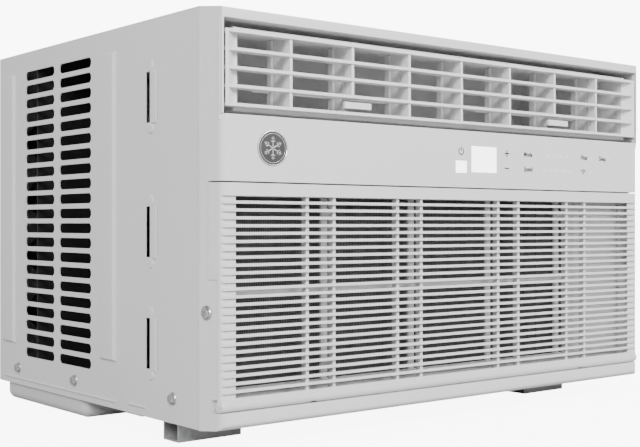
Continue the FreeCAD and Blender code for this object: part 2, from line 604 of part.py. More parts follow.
def controls():
    """Window inlays, the medallion and the touch board behind the band."""
    for label, word in (("display_window", "display"), ("receiver_window", "receiver")):
        across = ("{0}X - {0}Wide / 2".format(word), "{0}X + {0}Wide / 2".format(word))
        up = ("bandZ + {0}Lift - {0}High / 2".format(word),
              "bandZ + {0}Lift + {0}High / 2".format(word))
        keep(label, box(across, ("frontY + 0.1", "frontY + wall - 0.3"), up))
    disc = rod("y", ("-badgeX", "frontY - badgeProud", "bandZ + badgeLift"), "badgeRadius",
               "badgeThick")
    groove = cut(rod("y", ("-badgeX", "frontY - badgeProud - 1", "bandZ + badgeLift"),
                     "badgeRadius - badgeRim", "1 + badgeGrooveDeep"),
                 rod("y", ("-badgeX", "frontY - badgeProud - 2", "bandZ + badgeLift"),
                     "badgeRadius - badgeRim - badgeGroove", "4"))
    keep("badge", cut(disc, groove))
    keep("touch_board", box(("displayX - boardLeft", "displayX + boardRight"),
                            ("frontY + wall + boardBack", "frontY + wall + boardBack + boardThick"),
                            ("bandZ + boardMargin", "louvreFootZ - boardMargin")))


# ---------------------------------------------------------------- intake grille
RIBS = ["ribOuter / 472 * width", "ribOuterTwin / 472 * width", "ribInner / 472 * width",
        "ribInnerTwin / 472 * width"]


def inlet_grille():
    """Slotted drop-down grille; its round lower bead turns on two short pins."""
    outer = tapered(both("halfWide - taper"), both("halfWide - 0.387 * taper"),
                    ("frontY", "frontY + tabSeat - gap"),
                    ("hingeZ", "bandZ - 1"), ("hingeZ", "bandZ - 1"))
    outer = rounded(outer, "softCrease", lambda m, e: on_front(m) and abs(m.x) > 50)
    hollow = tapered(both("halfWide - taper - wall"), both("halfWide - 0.387 * taper - wall"),
                     ("frontY + wall", "frontY + tabSeat + 1"),
                     ("hingeZ - 1", "bandZ - 3"), ("hingeZ - 1", "bandZ - 3"))
    trim = box(both("halfWide + 1"), ("frontY + grilleSeat - gap", "frontY + tabSeat + 1"),
               ("hingeZ - 1", "bandZ - tabHigh + gap"))
    shell = cut(outer, hollow, trim)
    bead_bar = rod("x", ("-halfWide + taper", "hingeY", "hingeZ"), "beadRadius",
                   "width - 2 * taper")
    ribs = [box(("%s%s - grilleRibWide / 2" % (sign, x), "%s%s + grilleRibWide / 2" % (sign, x)),
                ("frontY + wall - 0.5", "frontY + wall + grilleRibDeep"),
                ("hingeZ", "bandZ - slotMargin + 2")) for x in RIBS for sign in ("", "-")]
    tabs = [box(("%s - catchTabHalf" % x, "%s + catchTabHalf" % x),
                ("frontY + wall - 0.5", "frontY + catchTabDeep"),
                ("bandZ - filterHead", "bandZ - 3.2")) for x in ("-clevisAt", "clevisAt")]
    slots = []
    for row in range(26):
        low = "bandZ - slotMargin - slotHigh - %d * slotPitch" % row
        slots.append(box(both("intakeHalf"), ("frontY - 1", "frontY + wall"),
                         (low, low + " + slotHigh")))
        slots.append(box(both("halfWide"), ("frontY - 1", "frontY + grooveDeep"),
                         (low, low + " + slotHigh")))
    notches = [box(("%s - clevisWide / 2 - 0.6" % x, "%s + clevisWide / 2 + 0.6" % x),
                   ("hingeY - 3", "hingeY + 6"), ("hingeZ - 6", "hingeZ + 6"))
               for x in ("-clevisAt", "clevisAt")]
    pins = [rod("x", ("%s - pinLong / 2" % x, "hingeY", "hingeZ"), "hingePinRadius", "pinLong")
            for x in ("-clevisAt", "clevisAt")]
    posts = [box(("%s%s - grilleRibWide / 2" % (sign, RIBS[1]),
                  "%s%s + grilleRibWide / 2" % (sign, RIBS[1])),
                 ("frontY + wall + grilleRibDeep - 0.5", "seamY - wall - filterPlay - filterDeep - 0.1"), height)
             for sign in ("", "-")
             for height in (("hingeZ + postIn", "hingeZ + postIn + postHigh"),
                            ("bandZ - postIn - postHigh", "bandZ - postIn"))]
    plate = cut(shell, *slots)
    body = fuse(plate, bead_bar, *ribs, *tabs, *posts)
    keep("inlet_grille", fuse(cut(body, *notches), *pins))


def filter_parts():
    """Washable filter: frame with crossing bars over a fine mesh, blanked off by the power box."""
    y = ("seamY - wall - filterPlay - filterDeep", "seamY - wall - filterPlay")
    low, high = "hingeZ + beadRadius + 2", "bandZ - 6.5"
    rim = box(both("intakeHalf - 0.5"), y, (low, high))
    opening = box(both("intakeHalf - 0.5 - filterRim"), (y[0] + " - 1", y[1] + " + 1"),
                  (low + " + filterRim", high + " - filterRim"))
    bars = [box(("%s%s - filterBar / 2" % (sign, x), "%s%s + filterBar / 2" % (sign, x)), y,
                (low, high)) for x in RIBS[1::2] for sign in ("", "-")]
    shutter = box(("boxLowX + shutterLap", "intakeHalf - 1"), y, (low, high))
    middle = box(both("intakeHalf - 1"), y, ("(%s + %s) / 2 - 2" % (low, high),
                                             "(%s + %s) / 2 + 2" % (low, high)))
    frame = fuse(cut(rim, opening), middle, shutter, *bars)
    groove = box(both("intakeHalf - 2"), ("%s - 1" % y[1], y[1] + " + 1"),
                 (low + " + 1.5", high + " - 1.5"))
    keep("filter_frame", cut(frame, groove))
    mesh_y = (y[1] + " - meshBack - meshThick", y[1] + " - meshBack")
    keep("filter_mesh", box(both("intakeHalf - 2.5"), mesh_y, (low + " + 2", high + " - 2")))


# ---------------------------------------------------------------- louvre
def upright_front(middle, edge):
    return on_front(middle) and abs(middle.x) > val("barrelHalf") - 1


VANES = [(number, "%d * ribPitch" % (number - 4)) for number in range(1, 8)]


def louvre_barrel():
    """Tilting frame: five blades on ribs, with shelves that carry the vanes."""
    blades = []
    for level in range(5):
        low = "barrelFootZ + %d * bladePitch" % level
        blade = box(both("barrelHalf"), ("frontY", "frontY + bladeDeep"),
                    (low, low + " + bladeHigh"))
        blades.append(rounded(blade, "bladeEnd", upright_front))
    ribs = []
    for number, x in VANES:
        foot = "barrelFootZ + 1" if number not in (2, 6) else "barrelFootZ + bladePitch + 1"
        ribs.append(box((x + " - ribWide / 2", x + " + ribWide / 2"),
                        ("frontY + 1", "frontY + bladeDeep"), (foot, "barrelTopZ + 1")))
    floor = box(both("barrelHalf - cheekSide + 2"), ("frontY + shelfIn", "frontY + shelfDeep"),
                ("barrelFootZ - shelfThick", "barrelFootZ + 0.2"))
    roof = box(both("barrelHalf - cheekSide + 2"), ("frontY + shelfIn", "frontY + shelfDeep"),
               ("barrelTopZ - 0.2", "barrelTopZ + shelfThick - 0.4"))
    ends = []
    for side in (-1, 1):
        flare = tapered(("barrelHalf - flareTip", "barrelHalf"),
                        ("barrelHalf - cheekSide", "barrelHalf - cheekSide + flareWide"),
                        ("frontY + 0.5", "frontY + 8"),
                        ("barrelFootZ", "barrelTopZ"), ("barrelFootZ", "barrelTopZ"))
        cheek = box(("barrelHalf - cheekSide", "barrelHalf - cheekSide + 3"),
                    ("frontY + 6", "frontY + shelfDeep"),
                    ("barrelFootZ - shelfThick", "barrelTopZ + shelfThick - 0.4"))
        ends.append(flare if side > 0 else mirrored(flare))
        ends.append(cheek if side > 0 else mirrored(cheek))
    inner = "barrelHalf - cheekSide + 2"
    trunnions = [rod("x", (x, "tiltY", "tiltZ"), "trunnionRadius", "trunnionLong")
                 for x in (inner, "-(%s) - trunnionLong" % inner)]
    collars = [rod("x", (x, "tiltY", "tiltZ"), "trunnionRadius + collarWall", "cheekSide - 2")
               for x in (inner, "-barrelHalf")]
    bores = [rod("z", (x, "pivotY", "barrelFootZ - 8"), "vanePinRadius + runGap",
                 "barrelTopZ - barrelFootZ + 16") for number, x in VANES]
    frame = fuse(*blades, *ribs, floor, roof, *ends, *trunnions, *collars)
    keep("louvre_barrel", cut(frame, *bores))


def mirrored(source):
    copy = doc.addObject("Part::Mirroring", "Mirrored")
    copy.Source = source
    copy.Normal = V(1, 0, 0)
    copy.Base = V(0, 0, 0)
    return copy


def vanes():
    """Upright air vanes; two of them carry the finger tabs."""
    for number, x in VANES:
        blade = box((x + " - vaneThick / 2", x + " + vaneThick / 2"),
                    ("pivotY - vaneAhead", "pivotY + vaneBehind"),
                    ("barrelFootZ + vaneEase", "barrelTopZ - vaneEase"))
        stem = rod("z", (x, "pivotY", "barrelFootZ - shelfThick + 0.2"), "vanePinRadius",
                   "barrelTopZ - barrelFootZ + 2 * shelfThick - 0.8")
        hub = rod("z", (x, "pivotY", "barrelFootZ + vaneEase"), "vanePinRadius + hubWall",
                  "barrelTopZ - barrelFootZ - 2 * vaneEase")
        window = box((x + " - 4", x + " + 4"), ("crankY - linkDeep / 2 - 0.8",
                                                "pivotY + vaneBehind + 1"),
                     ("linkZ - 1", "linkZ + linkHigh + 1"))
        crank = rod("z", (x, "crankY", "linkZ - 1.5"), "crankRadius", "linkHigh + 3")
        pieces = [cut(fuse(blade, hub), window), stem, crank]
        if number in (2, 6):
            low = "barrelFootZ + bladeHigh + 3"
            pieces.append(box((x + " - vaneTabWide / 2 + vaneTabShift",
                               x + " + vaneTabWide / 2 + vaneTabShift"),
                              ("frontY + 2", "frontY + 2 + vaneTabThick"),
                              (low, low + " + vaneTabHigh")))
            pieces.append(box((x + " - 2", x + " + 2"), ("frontY + 4", "pivotY - vaneAhead + 2"),
                              (low, low + " + vaneTabHigh")))
        keep("vane_%d" % number, fuse(*pieces))


def links():
    """Drag links that turn each set of three vanes together."""
    for label, group_x in (("link_left", [x for n, x in VANES[:3]]),
                           ("link_right", [x for n, x in VANES[4:]])):
        bar = box((group_x[0] + " - linkLap", group_x[-1] + " + linkLap"),
                  ("crankY - linkDeep / 2", "crankY + linkDeep / 2"), ("linkZ", "linkZ + linkHigh"))
        bores = [rod("z", (x, "crankY", "linkZ - 1"), "crankRadius + runGap", "linkHigh + 2")
                 for x in group_x]
        eyes = [rod("z", (x, "crankY", "linkZ"), "linkDeep / 2 + 0.7", "linkHigh")
                for x in group_x]
        keep(label, cut(fuse(bar, *eyes), *bores))


# ---------------------------------------------------------------- air path
def air_path():
    """Bulkhead, blower scroll, delivery duct and the outdoor fan shroud."""
    half = "halfWide - sheet - gap - 1"
    plate = box(both(half), ("bulkheadY - sheet", "bulkheadY"),
                ("floorZ + sheet + 0.2", "topZ - sheet - 1"))
    keep("bulkhead", cut(plate, rod("y", ("airX", "bulkheadY - 5", "airZ"), "shaftHole", "10")))
    low_y, high_y = "evapY + evapDeep + 3", "wheelBackY + 2"
    scroll_long = "%s - (%s)" % (high_y, low_y)
    drum = rod("y", ("airX", low_y, "airZ"), "wheelRadius + scrollGap", scroll_long)
    throat = box(("airX - wheelRadius - scrollGap", "airX + throatRight"), (low_y, high_y),
                 ("airZ", "barrelFootZ - 8"))
    inner_drum = rod("y", ("airX", low_y + " + scrollWall", "airZ"),
                     "wheelRadius + scrollGap - scrollWall", scroll_long + " - 2 * scrollWall")
    inner_throat = box(("airX - wheelRadius - scrollGap + scrollWall",
                        "airX + throatRight - scrollWall"),
                       (low_y + " + scrollWall", high_y + " - scrollWall"),
                       ("airZ", "barrelFootZ"))
    eye = rod("y", ("airX", low_y + " - 1", "airZ"), "wheelRadius - 12", "4")
    back = rod("y", ("airX", high_y + " - 3", "airZ"), "shaftHole", "4")
    keep("scroll_housing", cut(fuse(drum, throat), inner_drum, inner_throat, eye, back))
    duct_y = ("tiltY + ductIn", "bulkheadY - sheet - 1")
    duct = box(both("intakeHalf"), duct_y, ("ductFootZ", "topZ - ductRoof"))
    room = box(both("intakeHalf - ductWall"),
               ("tiltY + roomIn", "bulkheadY - sheet - 1 - ductWall"),
               ("ductFootZ + ductRoof", "topZ - 2 * ductRoof"))
    entry = box(("airX - wheelRadius - scrollGap + 3", "airX + throatRight - 3"),
                (low_y + " + 3", high_y + " - 3"), ("barrelFootZ - 10", "topZ - 20"))
    keep("air_duct", cut(duct, room, entry))
    shroud = box(both(half), ("shroudY", "shroudY + sheet"), ("floorZ + sheet + 0.2",
                                                              "topZ - sheet - 1"))
    ring = rod("y", ("airX", "shroudY - ringLong", "airZ"), "fanRadius + ringGap + ringWall",
               "ringLong + sheet / 2")
    eye = rod("y", ("airX", "shroudY - 20", "airZ"), "fanRadius + ringGap", "40")
    keep("fan_shroud", cut(fuse(shroud, ring), eye))


def motor():
    """Two-shaft fan motor on a folded stand."""
    y = "bulkheadY + motorIn"
    can = rod("y", ("airX", y, "airZ"), "motorRadius", "motorLong")
    nose = rod("y", ("airX", y + " - 5", "airZ"), "motorRadius / 3", "motorLong + 10")
    bore = rod("y", ("airX", y + " - 10", "airZ"), "shaftRadius + runGap", "motorLong + 20")
    keep("fan_motor", cut(fuse(can, nose), bore))
    stand = box(("airX - motorRadius - standSide", "airX + motorRadius + standSide"),
                (y + " + standFront", y + " + motorLong - standBack"),
                ("floorZ + sheet + 0.1", "airZ + 6"))
    inside = box(("airX - motorRadius - standSide + standWall",
                  "airX + motorRadius + standSide - standWall"),
                 (y + " + 10", y + " + motorLong"),
                 ("floorZ + sheet + 0.1 + standWall", "airZ - motorRadius - 4"))
    saddle = rod("y", ("airX", y + " - 5", "airZ"), "motorRadius + 0.1", "motorLong + 10")
    keep("motor_bracket", cut(stand, inside, saddle))
    keep("motor_shaft", rod("y", ("airX", "evapY + evapDeep + 8", "airZ"), "shaftRadius",
                            "fanY + fanDeep - evapY - evapDeep - 6"))


def blower_wheel():
    """Squirrel-cage wheel: back disc, front ring and curved blades."""
    low = val("wheelBackY") - val("wheelLong")
    outer, long = val("wheelRadius"), val("wheelLong")
    blade_wide, hub_long = val("wheelBlade"), val("wheelHubLong")
    axis = V(0, 1, 0)
    disc = Part.makeCylinder(outer, 2, V(0, long - 2, 0), axis)
    hub = Part.makeCylinder(val("wheelHub"), hub_long, V(0, long - hub_long - 2, 0), axis)
    ring = Part.makeCylinder(outer, 4, V(), axis).cut(Part.makeCylinder(outer - 9, 4, V(), axis))
    pieces = [disc, hub, ring]
    for step in range(40):
        blade = Part.makeBox(blade_wide, long - 1, val("bladeGauge"),
                             V(outer - blade_wide - 1, 0.5, 0))
        blade.rotate(V(outer - blade_wide / 2 - 1, 0, 0), axis, val("bladeLean"))
        blade.rotate(V(), axis, step * 9)
        pieces.append(blade)
    wheel = pieces[0].multiFuse(pieces[1:])
    bound = Part.makeCylinder(outer, long, V(), axis)
    bore = Part.makeCylinder(val("shaftRadius"), long + 2, V(0, -1, 0), axis)
    wheel = wheel.common(bound).cut(bore)
    return keep_shape("blower_wheel", wheel, V(val("airX"), low, val("airZ")))


def condenser_fan():
    """Axial fan with a slinger ring that lifts water onto the hot coil."""
    radius, deep = val("fanRadius"), val("fanDeep")
    axis = V(0, 1, 0)
    hub_radius, ring_long, blade_wide = val("fanHub"), val("slingerLong"), val("fanBladeWide")
    ring_at = V(0, deep - ring_long, 0)
    hub = Part.makeCylinder(hub_radius, deep, V(), axis)
    ring = Part.makeCylinder(radius, ring_long, ring_at, axis)
    ring = ring.cut(Part.makeCylinder(radius - val("slingerWall"), ring_long, ring_at, axis))
    pieces = [hub, ring]
    for step in range(5):
        root = V(hub_radius - 6, deep / 2, 0)
        blade = Part.makeBox(radius - root.x - 1, 2, blade_wide, root - V(0, 1, blade_wide / 2))
        blade.rotate(root, V(1, 0, 0), val("bladeLean"))
        sweep = Part.makeCylinder(radius - 1, deep, V(), axis)
        blade = blade.common(sweep)
        blade.rotate(V(), axis, 72 * step)
        pieces.append(blade)
    fan = pieces[0].multiFuse(pieces[1:])
    fan = fan.cut(Part.makeCylinder(val("shaftRadius"), deep + 2, V(0, -1, 0), axis))
    return keep_shape("condenser_fan", fan, V(val("airX"), val("fanY"), val("airZ")))


# ---------------------------------------------------------------- refrigeration
def coil(label, x, y, z, rows):
    """Finned block with a serpentine tube through it."""
    length, high = val(x[1]) - val(x[0]), val(z[1]) - val(z[0])
    deep = val(y[1])
    fins = round(length / val("finBlock"))
    pitch = length / fins
    lap = val("tubeLap")
    cuts = []
    for index in range(fins):
        for side in (-0.5, deep - 6):
            low = V(index * pitch + pitch * 0.55, side, -1)
            cuts.append(Part.makeBox(pitch * 0.45, 6.5, high + 2, low))
    spacing = high / rows
    levels = [spacing * (row + 0.5) for row in range(rows)]
    block = Part.makeBox(length, deep, high).cut(Part.makeCompound(cuts))
    radius = val("coilTube")
    middle = deep / 2
    block = block.cut(Part.makeCompound(
        [Part.makeCylinder(radius + 0.1, length + 2, V(-1, middle, level), V(1, 0, 0))
         for level in levels]))
    tubes = [Part.makeCylinder(radius, length + 2 * lap, V(-lap, middle, level), V(1, 0, 0))
             for level in levels]
    for row in range(rows - 1):
        end = length + lap if row % 2 == 0 else -lap
        centre = V(end, middle, (levels[row] + levels[row + 1]) / 2)
        bend = Part.makeTorus(spacing / 2, radius, centre, V(0, 1, 0))
        keep_x = end if row % 2 == 0 else end - spacing
        half = Part.makeBox(spacing, deep + 20, 2 * spacing,
                            V(keep_x, -10, centre.z - spacing))
        tubes.append(bend.common(half))
    tube = tubes[0].multiFuse(tubes[1:])
    corner = V(val(x[0]), val(y[0]), val(z[0]))
    for shape, name in ((block, label + "_fins"), (tube, label + "_tubes")):
        keep_shape(name, shape, corner)
    return [corner + V(0, middle, level) for level in levels]


def compressor():
    """Hermetic compressor on rubber grommets, with its accumulator."""
    can = rod("z", ("compX", "compY", "compFootZ"), "compRadius", "compHigh")
    can = rounded(can, "canShoulder", lambda m, e: m.z > val("compFootZ") + 1)
    plate = box(("compX - compRadius - plateLap", "compX + compRadius + plateLap"),
                ("compY - compRadius - plateLap", "compY + compRadius + plateLap"),
                ("compFootZ", "compFootZ + plateThick"))
    corners = [("compX %s (compRadius - 2)" % a, "compY %s (compRadius - 2)" % b)
               for a in "+-" for b in "+-"]
    holes = [rod("z", (x, y, "compFootZ - 5"), "grommetHole", "12") for x, y in corners]
    keep("compressor", cut(fuse(can, plate), *holes))
    deck = "floorZ + sheet + 0.2"
    grommets = [cut(fuse(rod("z", (x, y, deck), "grommetRadius", "grommetHigh"),
                         rod("z", (x, y, deck + " + 0.8"), "grommetHole - gap", "20")),
                    rod("z", (x, y, "floorZ"), "studRadius + 0.2", "30")) for x, y in corners]
    keep("compressor_grommets", group(*grommets))
    studs = [fuse(rod("z", (x, y, deck), "studRadius", "studLong"),
                  rod("z", (x, y, deck + " + 21"), "2 * studRadius", "nutHigh"))
             for x, y in corners]
    keep("compressor_studs", group(*studs))
    cap_x, crown = "compX - compRadius / 3", "compFootZ + compHigh"
    cap = rod("z", (cap_x, "compY", crown + " + gap"), "capRadius", "capHigh")
    room = rod("z", (cap_x, "compY", crown), "capRadius - capWall", "capHigh + gap - capWall")
    keep("terminal_cover", cut(cap, room))
    foot, head = "compFootZ + accFoot", "compFootZ + accFoot + accLong / 298.7 * bodyHigh"
    keep("accumulator", fuse(rod("z", ("accX", "compY", foot), "accRadius",
                                 "accLong / 298.7 * bodyHigh"),
                             ball(("accX", "compY", foot), "accRadius"),
                             ball(("accX", "compY", head), "accRadius")))


def pipe(label, points):
    """Copper line: straight runs joined by ball corners."""
    radius = val("lineRadius")
    pieces = []
    for start, end in zip(points, points[1:]):
        along = end - start
        pieces.append(Part.makeCylinder(radius, along.Length, start, along))
    for corner in points[1:-1]:
        pieces.append(Part.makeSphere(radius, corner))
    keep_shape(label, pieces[0].multiFuse(pieces[1:]), V())


def lines(cold):
    """Suction, discharge and liquid lines between the coils and compressor."""
    comp = V(val("compX"), val("compY"), val("compFootZ") + val("compHigh"))
    acc_long = val("accLong") / 298.7 * val("bodyHigh")
    acc_top = val("compFootZ") + val("accFoot") + acc_long + val("accRadius")
    bulkhead_y = val("bulkheadY")
    high = cold[-1].z + val("lineRise")
    pipe("suction_line", [V(val("accX"), comp.y, acc_top + val("gap")),
                          V(val("accX"), comp.y, high), V(val("accX"), bulkhead_y + 8, high)])
    out, rise, jog = val("dischargeX"), val("dischargeRise"), val("dischargeJog")
    pipe("discharge_line", [comp + V(out, 0, 0.4), comp + V(out, 0, rise),
                            comp + V(out, jog, rise),
                            V(comp.x + out, val("shroudY") - 5, comp.z + rise)])
    drier_long, across = val("drierLong"), val("liquidRise")
    foot = V(-val("halfWide") + val("drierSide"), bulkhead_y + val("drierIn"),
             val("floorZ") + val("drierFoot"))
    head = foot + V(0, 0, drier_long)
    shape = Part.makeCylinder(val("drierRadius"), drier_long, foot)
    shape = shape.makeFillet(val("drierNeck"), [e for e in shape.Edges if e.Closed])
    keep_shape("filter_drier", shape, V())
    pipe("liquid_line", [head + V(0, 0, val("gap")), head + V(0, 0, across),
                         head + V(across, 0, across), head + V(across, -16, across)])


def electrics():
    """Power box beside the cold coil, with its cover, board and capacitor."""
    x = ("boxLowX", "boxHighX")
    y = ("evapY + boxIn", "evapY + boxIn + boxDeep")
    z = ("lipZ + 6", "bandZ - 6")
    outer = box(x, y, z)
    room = box((x[0] + " + sheet", x[1] + " - sheet"), (y[0] + " - 1", y[1] + " - sheet"),
               (z[0] + " + sheet", z[1] + " - sheet"))
    keep("electrical_box", cut(outer, room))
    keep("electrical_cover", box(x, (y[0] + " - coverGap - coverThick", y[0] + " - coverGap"), z))
    keep("power_board", box((x[0] + " + powerMargin", x[1] + " - powerMargin"),
                            (y[1] + " - powerBack", y[1] + " - powerBack + boardThick"),
                            (z[0] + " + powerFoot", z[1] + " - powerBack")))
    keep("run_capacitor", rod("z", ("(%s + %s) / 2" % x, y[0] + " + canIn", z[0] + " + 5"),
                              "canRadius", "canHigh"))
    at = ("halfWide + 2 - glandLong", "frontY + glandIn", "floorZ + glandLift")
    body = rod("x", at, "glandRadius", "glandLong")
    flange = rod("x", ("halfWide + runGap", at[1], at[2]), "glandRadius + glandRim", "glandRim")
    bore = rod("x", ("halfWide - 10", at[1], at[2]), "leadRadius", "20")
    keep("cord_gland", cut(fuse(body, flange), bore))
    stem = rod("z", ("drainX", "drainY", "0.2"), "drainRadius - gap", "plugThick")
    flange = rod("z", ("drainX", "drainY", "sheet + 0.1"), "plugFlange", "plugThick")
    keep("drain_plug", fuse(stem, flange))


# ---------------------------------------------------------------- assembly
base_pan()
cabinet_shell()
rear_grille()
feet()
cabinet_screws()
front_panel()
controls()
inlet_grille()
filter_parts()
louvre_barrel()
vanes()
links()
air_path()
motor()
blower_wheel()
condenser_fan()
cold_ports = coil("evaporator", ("evapLowX", "evapHighX"), ("evapY", "evapDeep"),
                  ("evapFootZ", "evapTopZ"), 6)
coil("condenser", ("condLowX", "condHalf"), ("condY", "condDeep"),
     ("condFootZ", "condTopZ"), 10)
compressor()
lines(cold_ports)
electrics()
doc.recompute()

for item in doc.Objects:
    if "Invalid" in item.State or "Error" in item.State:
        raise RuntimeError("failed feature: %s %s" % (item.Name, item.State))
os.makedirs("parts", exist_ok=True)
labels = set()
for part in PARTS:
    if part.Shape.isNull() or not part.Shape.isValid():
        raise RuntimeError("bad shape: " + part.Label)
    if part.Label in labels or not part.Shape.Solids:
        raise RuntimeError("bad name or no solid: " + part.Label)
    labels.add(part.Label)
    part.Shape.exportStep("parts/%s.step" % part.Label)
print("wrote %d sub-parts" % len(PARTS))
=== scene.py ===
import math
import bmesh
import bpy
from mathutils import Matrix, Vector


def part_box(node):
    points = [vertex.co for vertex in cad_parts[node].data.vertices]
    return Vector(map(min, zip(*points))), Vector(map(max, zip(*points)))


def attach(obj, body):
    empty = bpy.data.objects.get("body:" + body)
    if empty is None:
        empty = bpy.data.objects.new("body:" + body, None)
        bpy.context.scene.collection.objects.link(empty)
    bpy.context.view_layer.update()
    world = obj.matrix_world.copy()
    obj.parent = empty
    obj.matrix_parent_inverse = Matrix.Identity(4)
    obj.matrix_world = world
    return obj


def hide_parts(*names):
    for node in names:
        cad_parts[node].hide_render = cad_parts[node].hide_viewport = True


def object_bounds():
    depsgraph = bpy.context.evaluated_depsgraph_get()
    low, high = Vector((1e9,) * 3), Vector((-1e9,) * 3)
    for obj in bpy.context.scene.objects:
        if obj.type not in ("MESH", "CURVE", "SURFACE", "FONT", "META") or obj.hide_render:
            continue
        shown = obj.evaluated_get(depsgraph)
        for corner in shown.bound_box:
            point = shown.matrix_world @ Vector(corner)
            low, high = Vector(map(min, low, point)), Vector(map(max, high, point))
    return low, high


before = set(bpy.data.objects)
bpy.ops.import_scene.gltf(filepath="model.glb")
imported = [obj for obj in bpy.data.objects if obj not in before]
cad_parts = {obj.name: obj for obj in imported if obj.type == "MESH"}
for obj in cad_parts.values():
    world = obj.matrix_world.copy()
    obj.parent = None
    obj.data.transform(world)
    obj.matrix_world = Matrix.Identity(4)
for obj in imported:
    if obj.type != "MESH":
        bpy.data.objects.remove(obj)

# ---------------------------------------------------------------- studio
# A pale seamless floor and backdrop, a broad key high on the right, a softer one from the
# front left and a dim sky. The camera stands low on the left, level with the unit's middle.
MM = 0.001
cad_low, cad_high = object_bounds()
EYE = Vector((-0.658, -0.8815, 0.1613))
GAZE = Vector((0.6661, 0.7459, 0.0))
LENS = 65.1
SENSOR = 36.0
SHIFT = -0.167
NEAREST, FARTHEST = 0.01, 50.0
FLOOR_HALF = 8.0
FLOOR_UNDER = 0.2 * MM
FLOOR_GREY = 0.42
SKY_STRENGTH = 0.75
BACKDROP_GLOW = 9.0
FLOOR_GLOW = 7.9
WHITE = (1.0, 1.0, 1.0, 1.0)
LAMPS = (("key", (1.0, -2.3, 1.7), 1.2, 105.0), ("side", (-1.9, -1.9, 1.4), 0.9, 80.0),
         ("back", (0.9, 2.4, 1.6), 1.4, 17.0))


def mesh_object(name, mesh):
    """Put some mesh or curve data into the scene under a name."""
    thing = bpy.data.objects.new(name, mesh)
    bpy.context.scene.collection.objects.link(thing)
    return thing


def place_camera():
    """A long lens, shifted to the left so that upright edges stay upright."""
    camera = bpy.data.cameras.new("camera")
    camera.lens = LENS
    camera.sensor_width = SENSOR
    camera.shift_x = SHIFT
    camera.clip_start = NEAREST
    camera.clip_end = FARTHEST
    stand = bpy.data.objects.new("camera", camera)
    stand.location = EYE
    stand.rotation_euler = GAZE.to_track_quat("-Z", "Y").to_euler()
    bpy.context.scene.collection.objects.link(stand)
    bpy.context.scene.camera = stand


def soft_light(name, at, size, power):
    """A square panel that faces the middle of the unit."""
    lamp = bpy.data.lights.new(name, "AREA")
    lamp.shape = "SQUARE"
    lamp.size = size
    lamp.energy = power
    stand = bpy.data.objects.new(name, lamp)
    stand.location = at
    aim = (cad_low + cad_high) / 2 - Vector(at)
    stand.rotation_euler = aim.to_track_quat("-Z", "Y").to_euler()
    bpy.context.scene.collection.objects.link(stand)


def studio_floor():
    """Pale paper under the unit: it shades as grey paper and shows as bright as the backdrop."""
    mesh = bpy.data.meshes.new("studio_floor")
    corners = [(across * FLOOR_HALF, along * FLOOR_HALF, 0)
               for across, along in ((-1, -1), (1, -1), (1, 1), (-1, 1))]
    mesh.from_pydata(corners, [], [(0, 1, 2, 3)])
    floor = mesh_object("studio_floor", mesh)
    floor.location.z = cad_low.z - FLOOR_UNDER
    paper = bpy.data.materials.new("studio_paper")
    paper.use_nodes = True
    tree = paper.node_tree
    shader = tree.nodes["Principled BSDF"]
    shader.inputs["Base Color"].default_value = (FLOOR_GREY, FLOOR_GREY, FLOOR_GREY, 1)
    shader.inputs["Roughness"].default_value = 0.9
    shader.inputs["Emission Strength"].default_value = FLOOR_GLOW
    ray = tree.nodes.new("ShaderNodeLightPath")
    tree.links.new(ray.outputs["Is Camera Ray"], shader.inputs["Emission Color"])
    mesh.materials.append(paper)


def studio_sky():
    """A dim even sky for the unit, in front of a bright backdrop."""
    sky = bpy.data.worlds.new("sky")
    sky.use_nodes = True
    tree = sky.node_tree
    dim = tree.nodes["Background"]
    dim.inputs["Color"].default_value = WHITE
    dim.inputs["Strength"].default_value = SKY_STRENGTH
    bright = tree.nodes.new("ShaderNodeBackground")
    bright.inputs["Color"].default_value = WHITE
    bright.inputs["Strength"].default_value = BACKDROP_GLOW
    ray = tree.nodes.new("ShaderNodeLightPath")
    choice = tree.nodes.new("ShaderNodeMixShader")
    tree.links.new(ray.outputs["Is Camera Ray"], choice.inputs["Fac"])
    tree.links.new(dim.outputs[0], choice.inputs[1])
    tree.links.new(bright.outputs[0], choice.inputs[2])
    tree.links.new(choice.outputs[0], tree.nodes["World Output"].inputs["Surface"])
    bpy.context.scene.world = sky


place_camera()
studio_floor()
studio_sky()
for lamp_name, lamp_at, lamp_size, lamp_power in LAMPS:
    soft_light(lamp_name, lamp_at, lamp_size, lamp_power)

# ---------------------------------------------------------------- base pan and feet
# One pressing of galvanised steel, with the drain sump drawn down at the back, painted with
# the cabinet; two folded channel feet of bare zinc sheet are screwed under its front.
WELD = 0.01 * MM
CRISP = math.radians(34)


class Wire:
    """One value in a node tree; arithmetic on it adds Math nodes."""

    def __init__(self, graph, socket):
        self.graph = graph
        self.socket = socket

    def maths(self, operation, first, second):
        return self.graph.add("ShaderNodeMath", {"operation": operation},
                              {0: first, 1: second})

    def __add__(self, other):
        return self.maths("ADD", self, other)

    def __radd__(self, other):
        return self.maths("ADD", other, self)

    def __mul__(self, other):
        return self.maths("MULTIPLY", self, other)

    def __rmul__(self, other):
        return self.maths("MULTIPLY", other, self)

    def above(self, level):
        """One where the value is past a level, nought elsewhere."""
        return self.maths("GREATER_THAN", self, level)


class Graph:
    """A node tree that is filled one node at a time."""

    def add(self, kind, settings, inputs, output=0):
        node = self.tree.nodes.new(kind)
        for name, value in settings.items():
            setattr(node, name, value)
        for key, value in inputs.items():
            if isinstance(value, Wire):
                self.tree.links.new(value.socket, node.inputs[key])
            else:
                node.inputs[key].default_value = value
        return Wire(self, node.outputs[output])


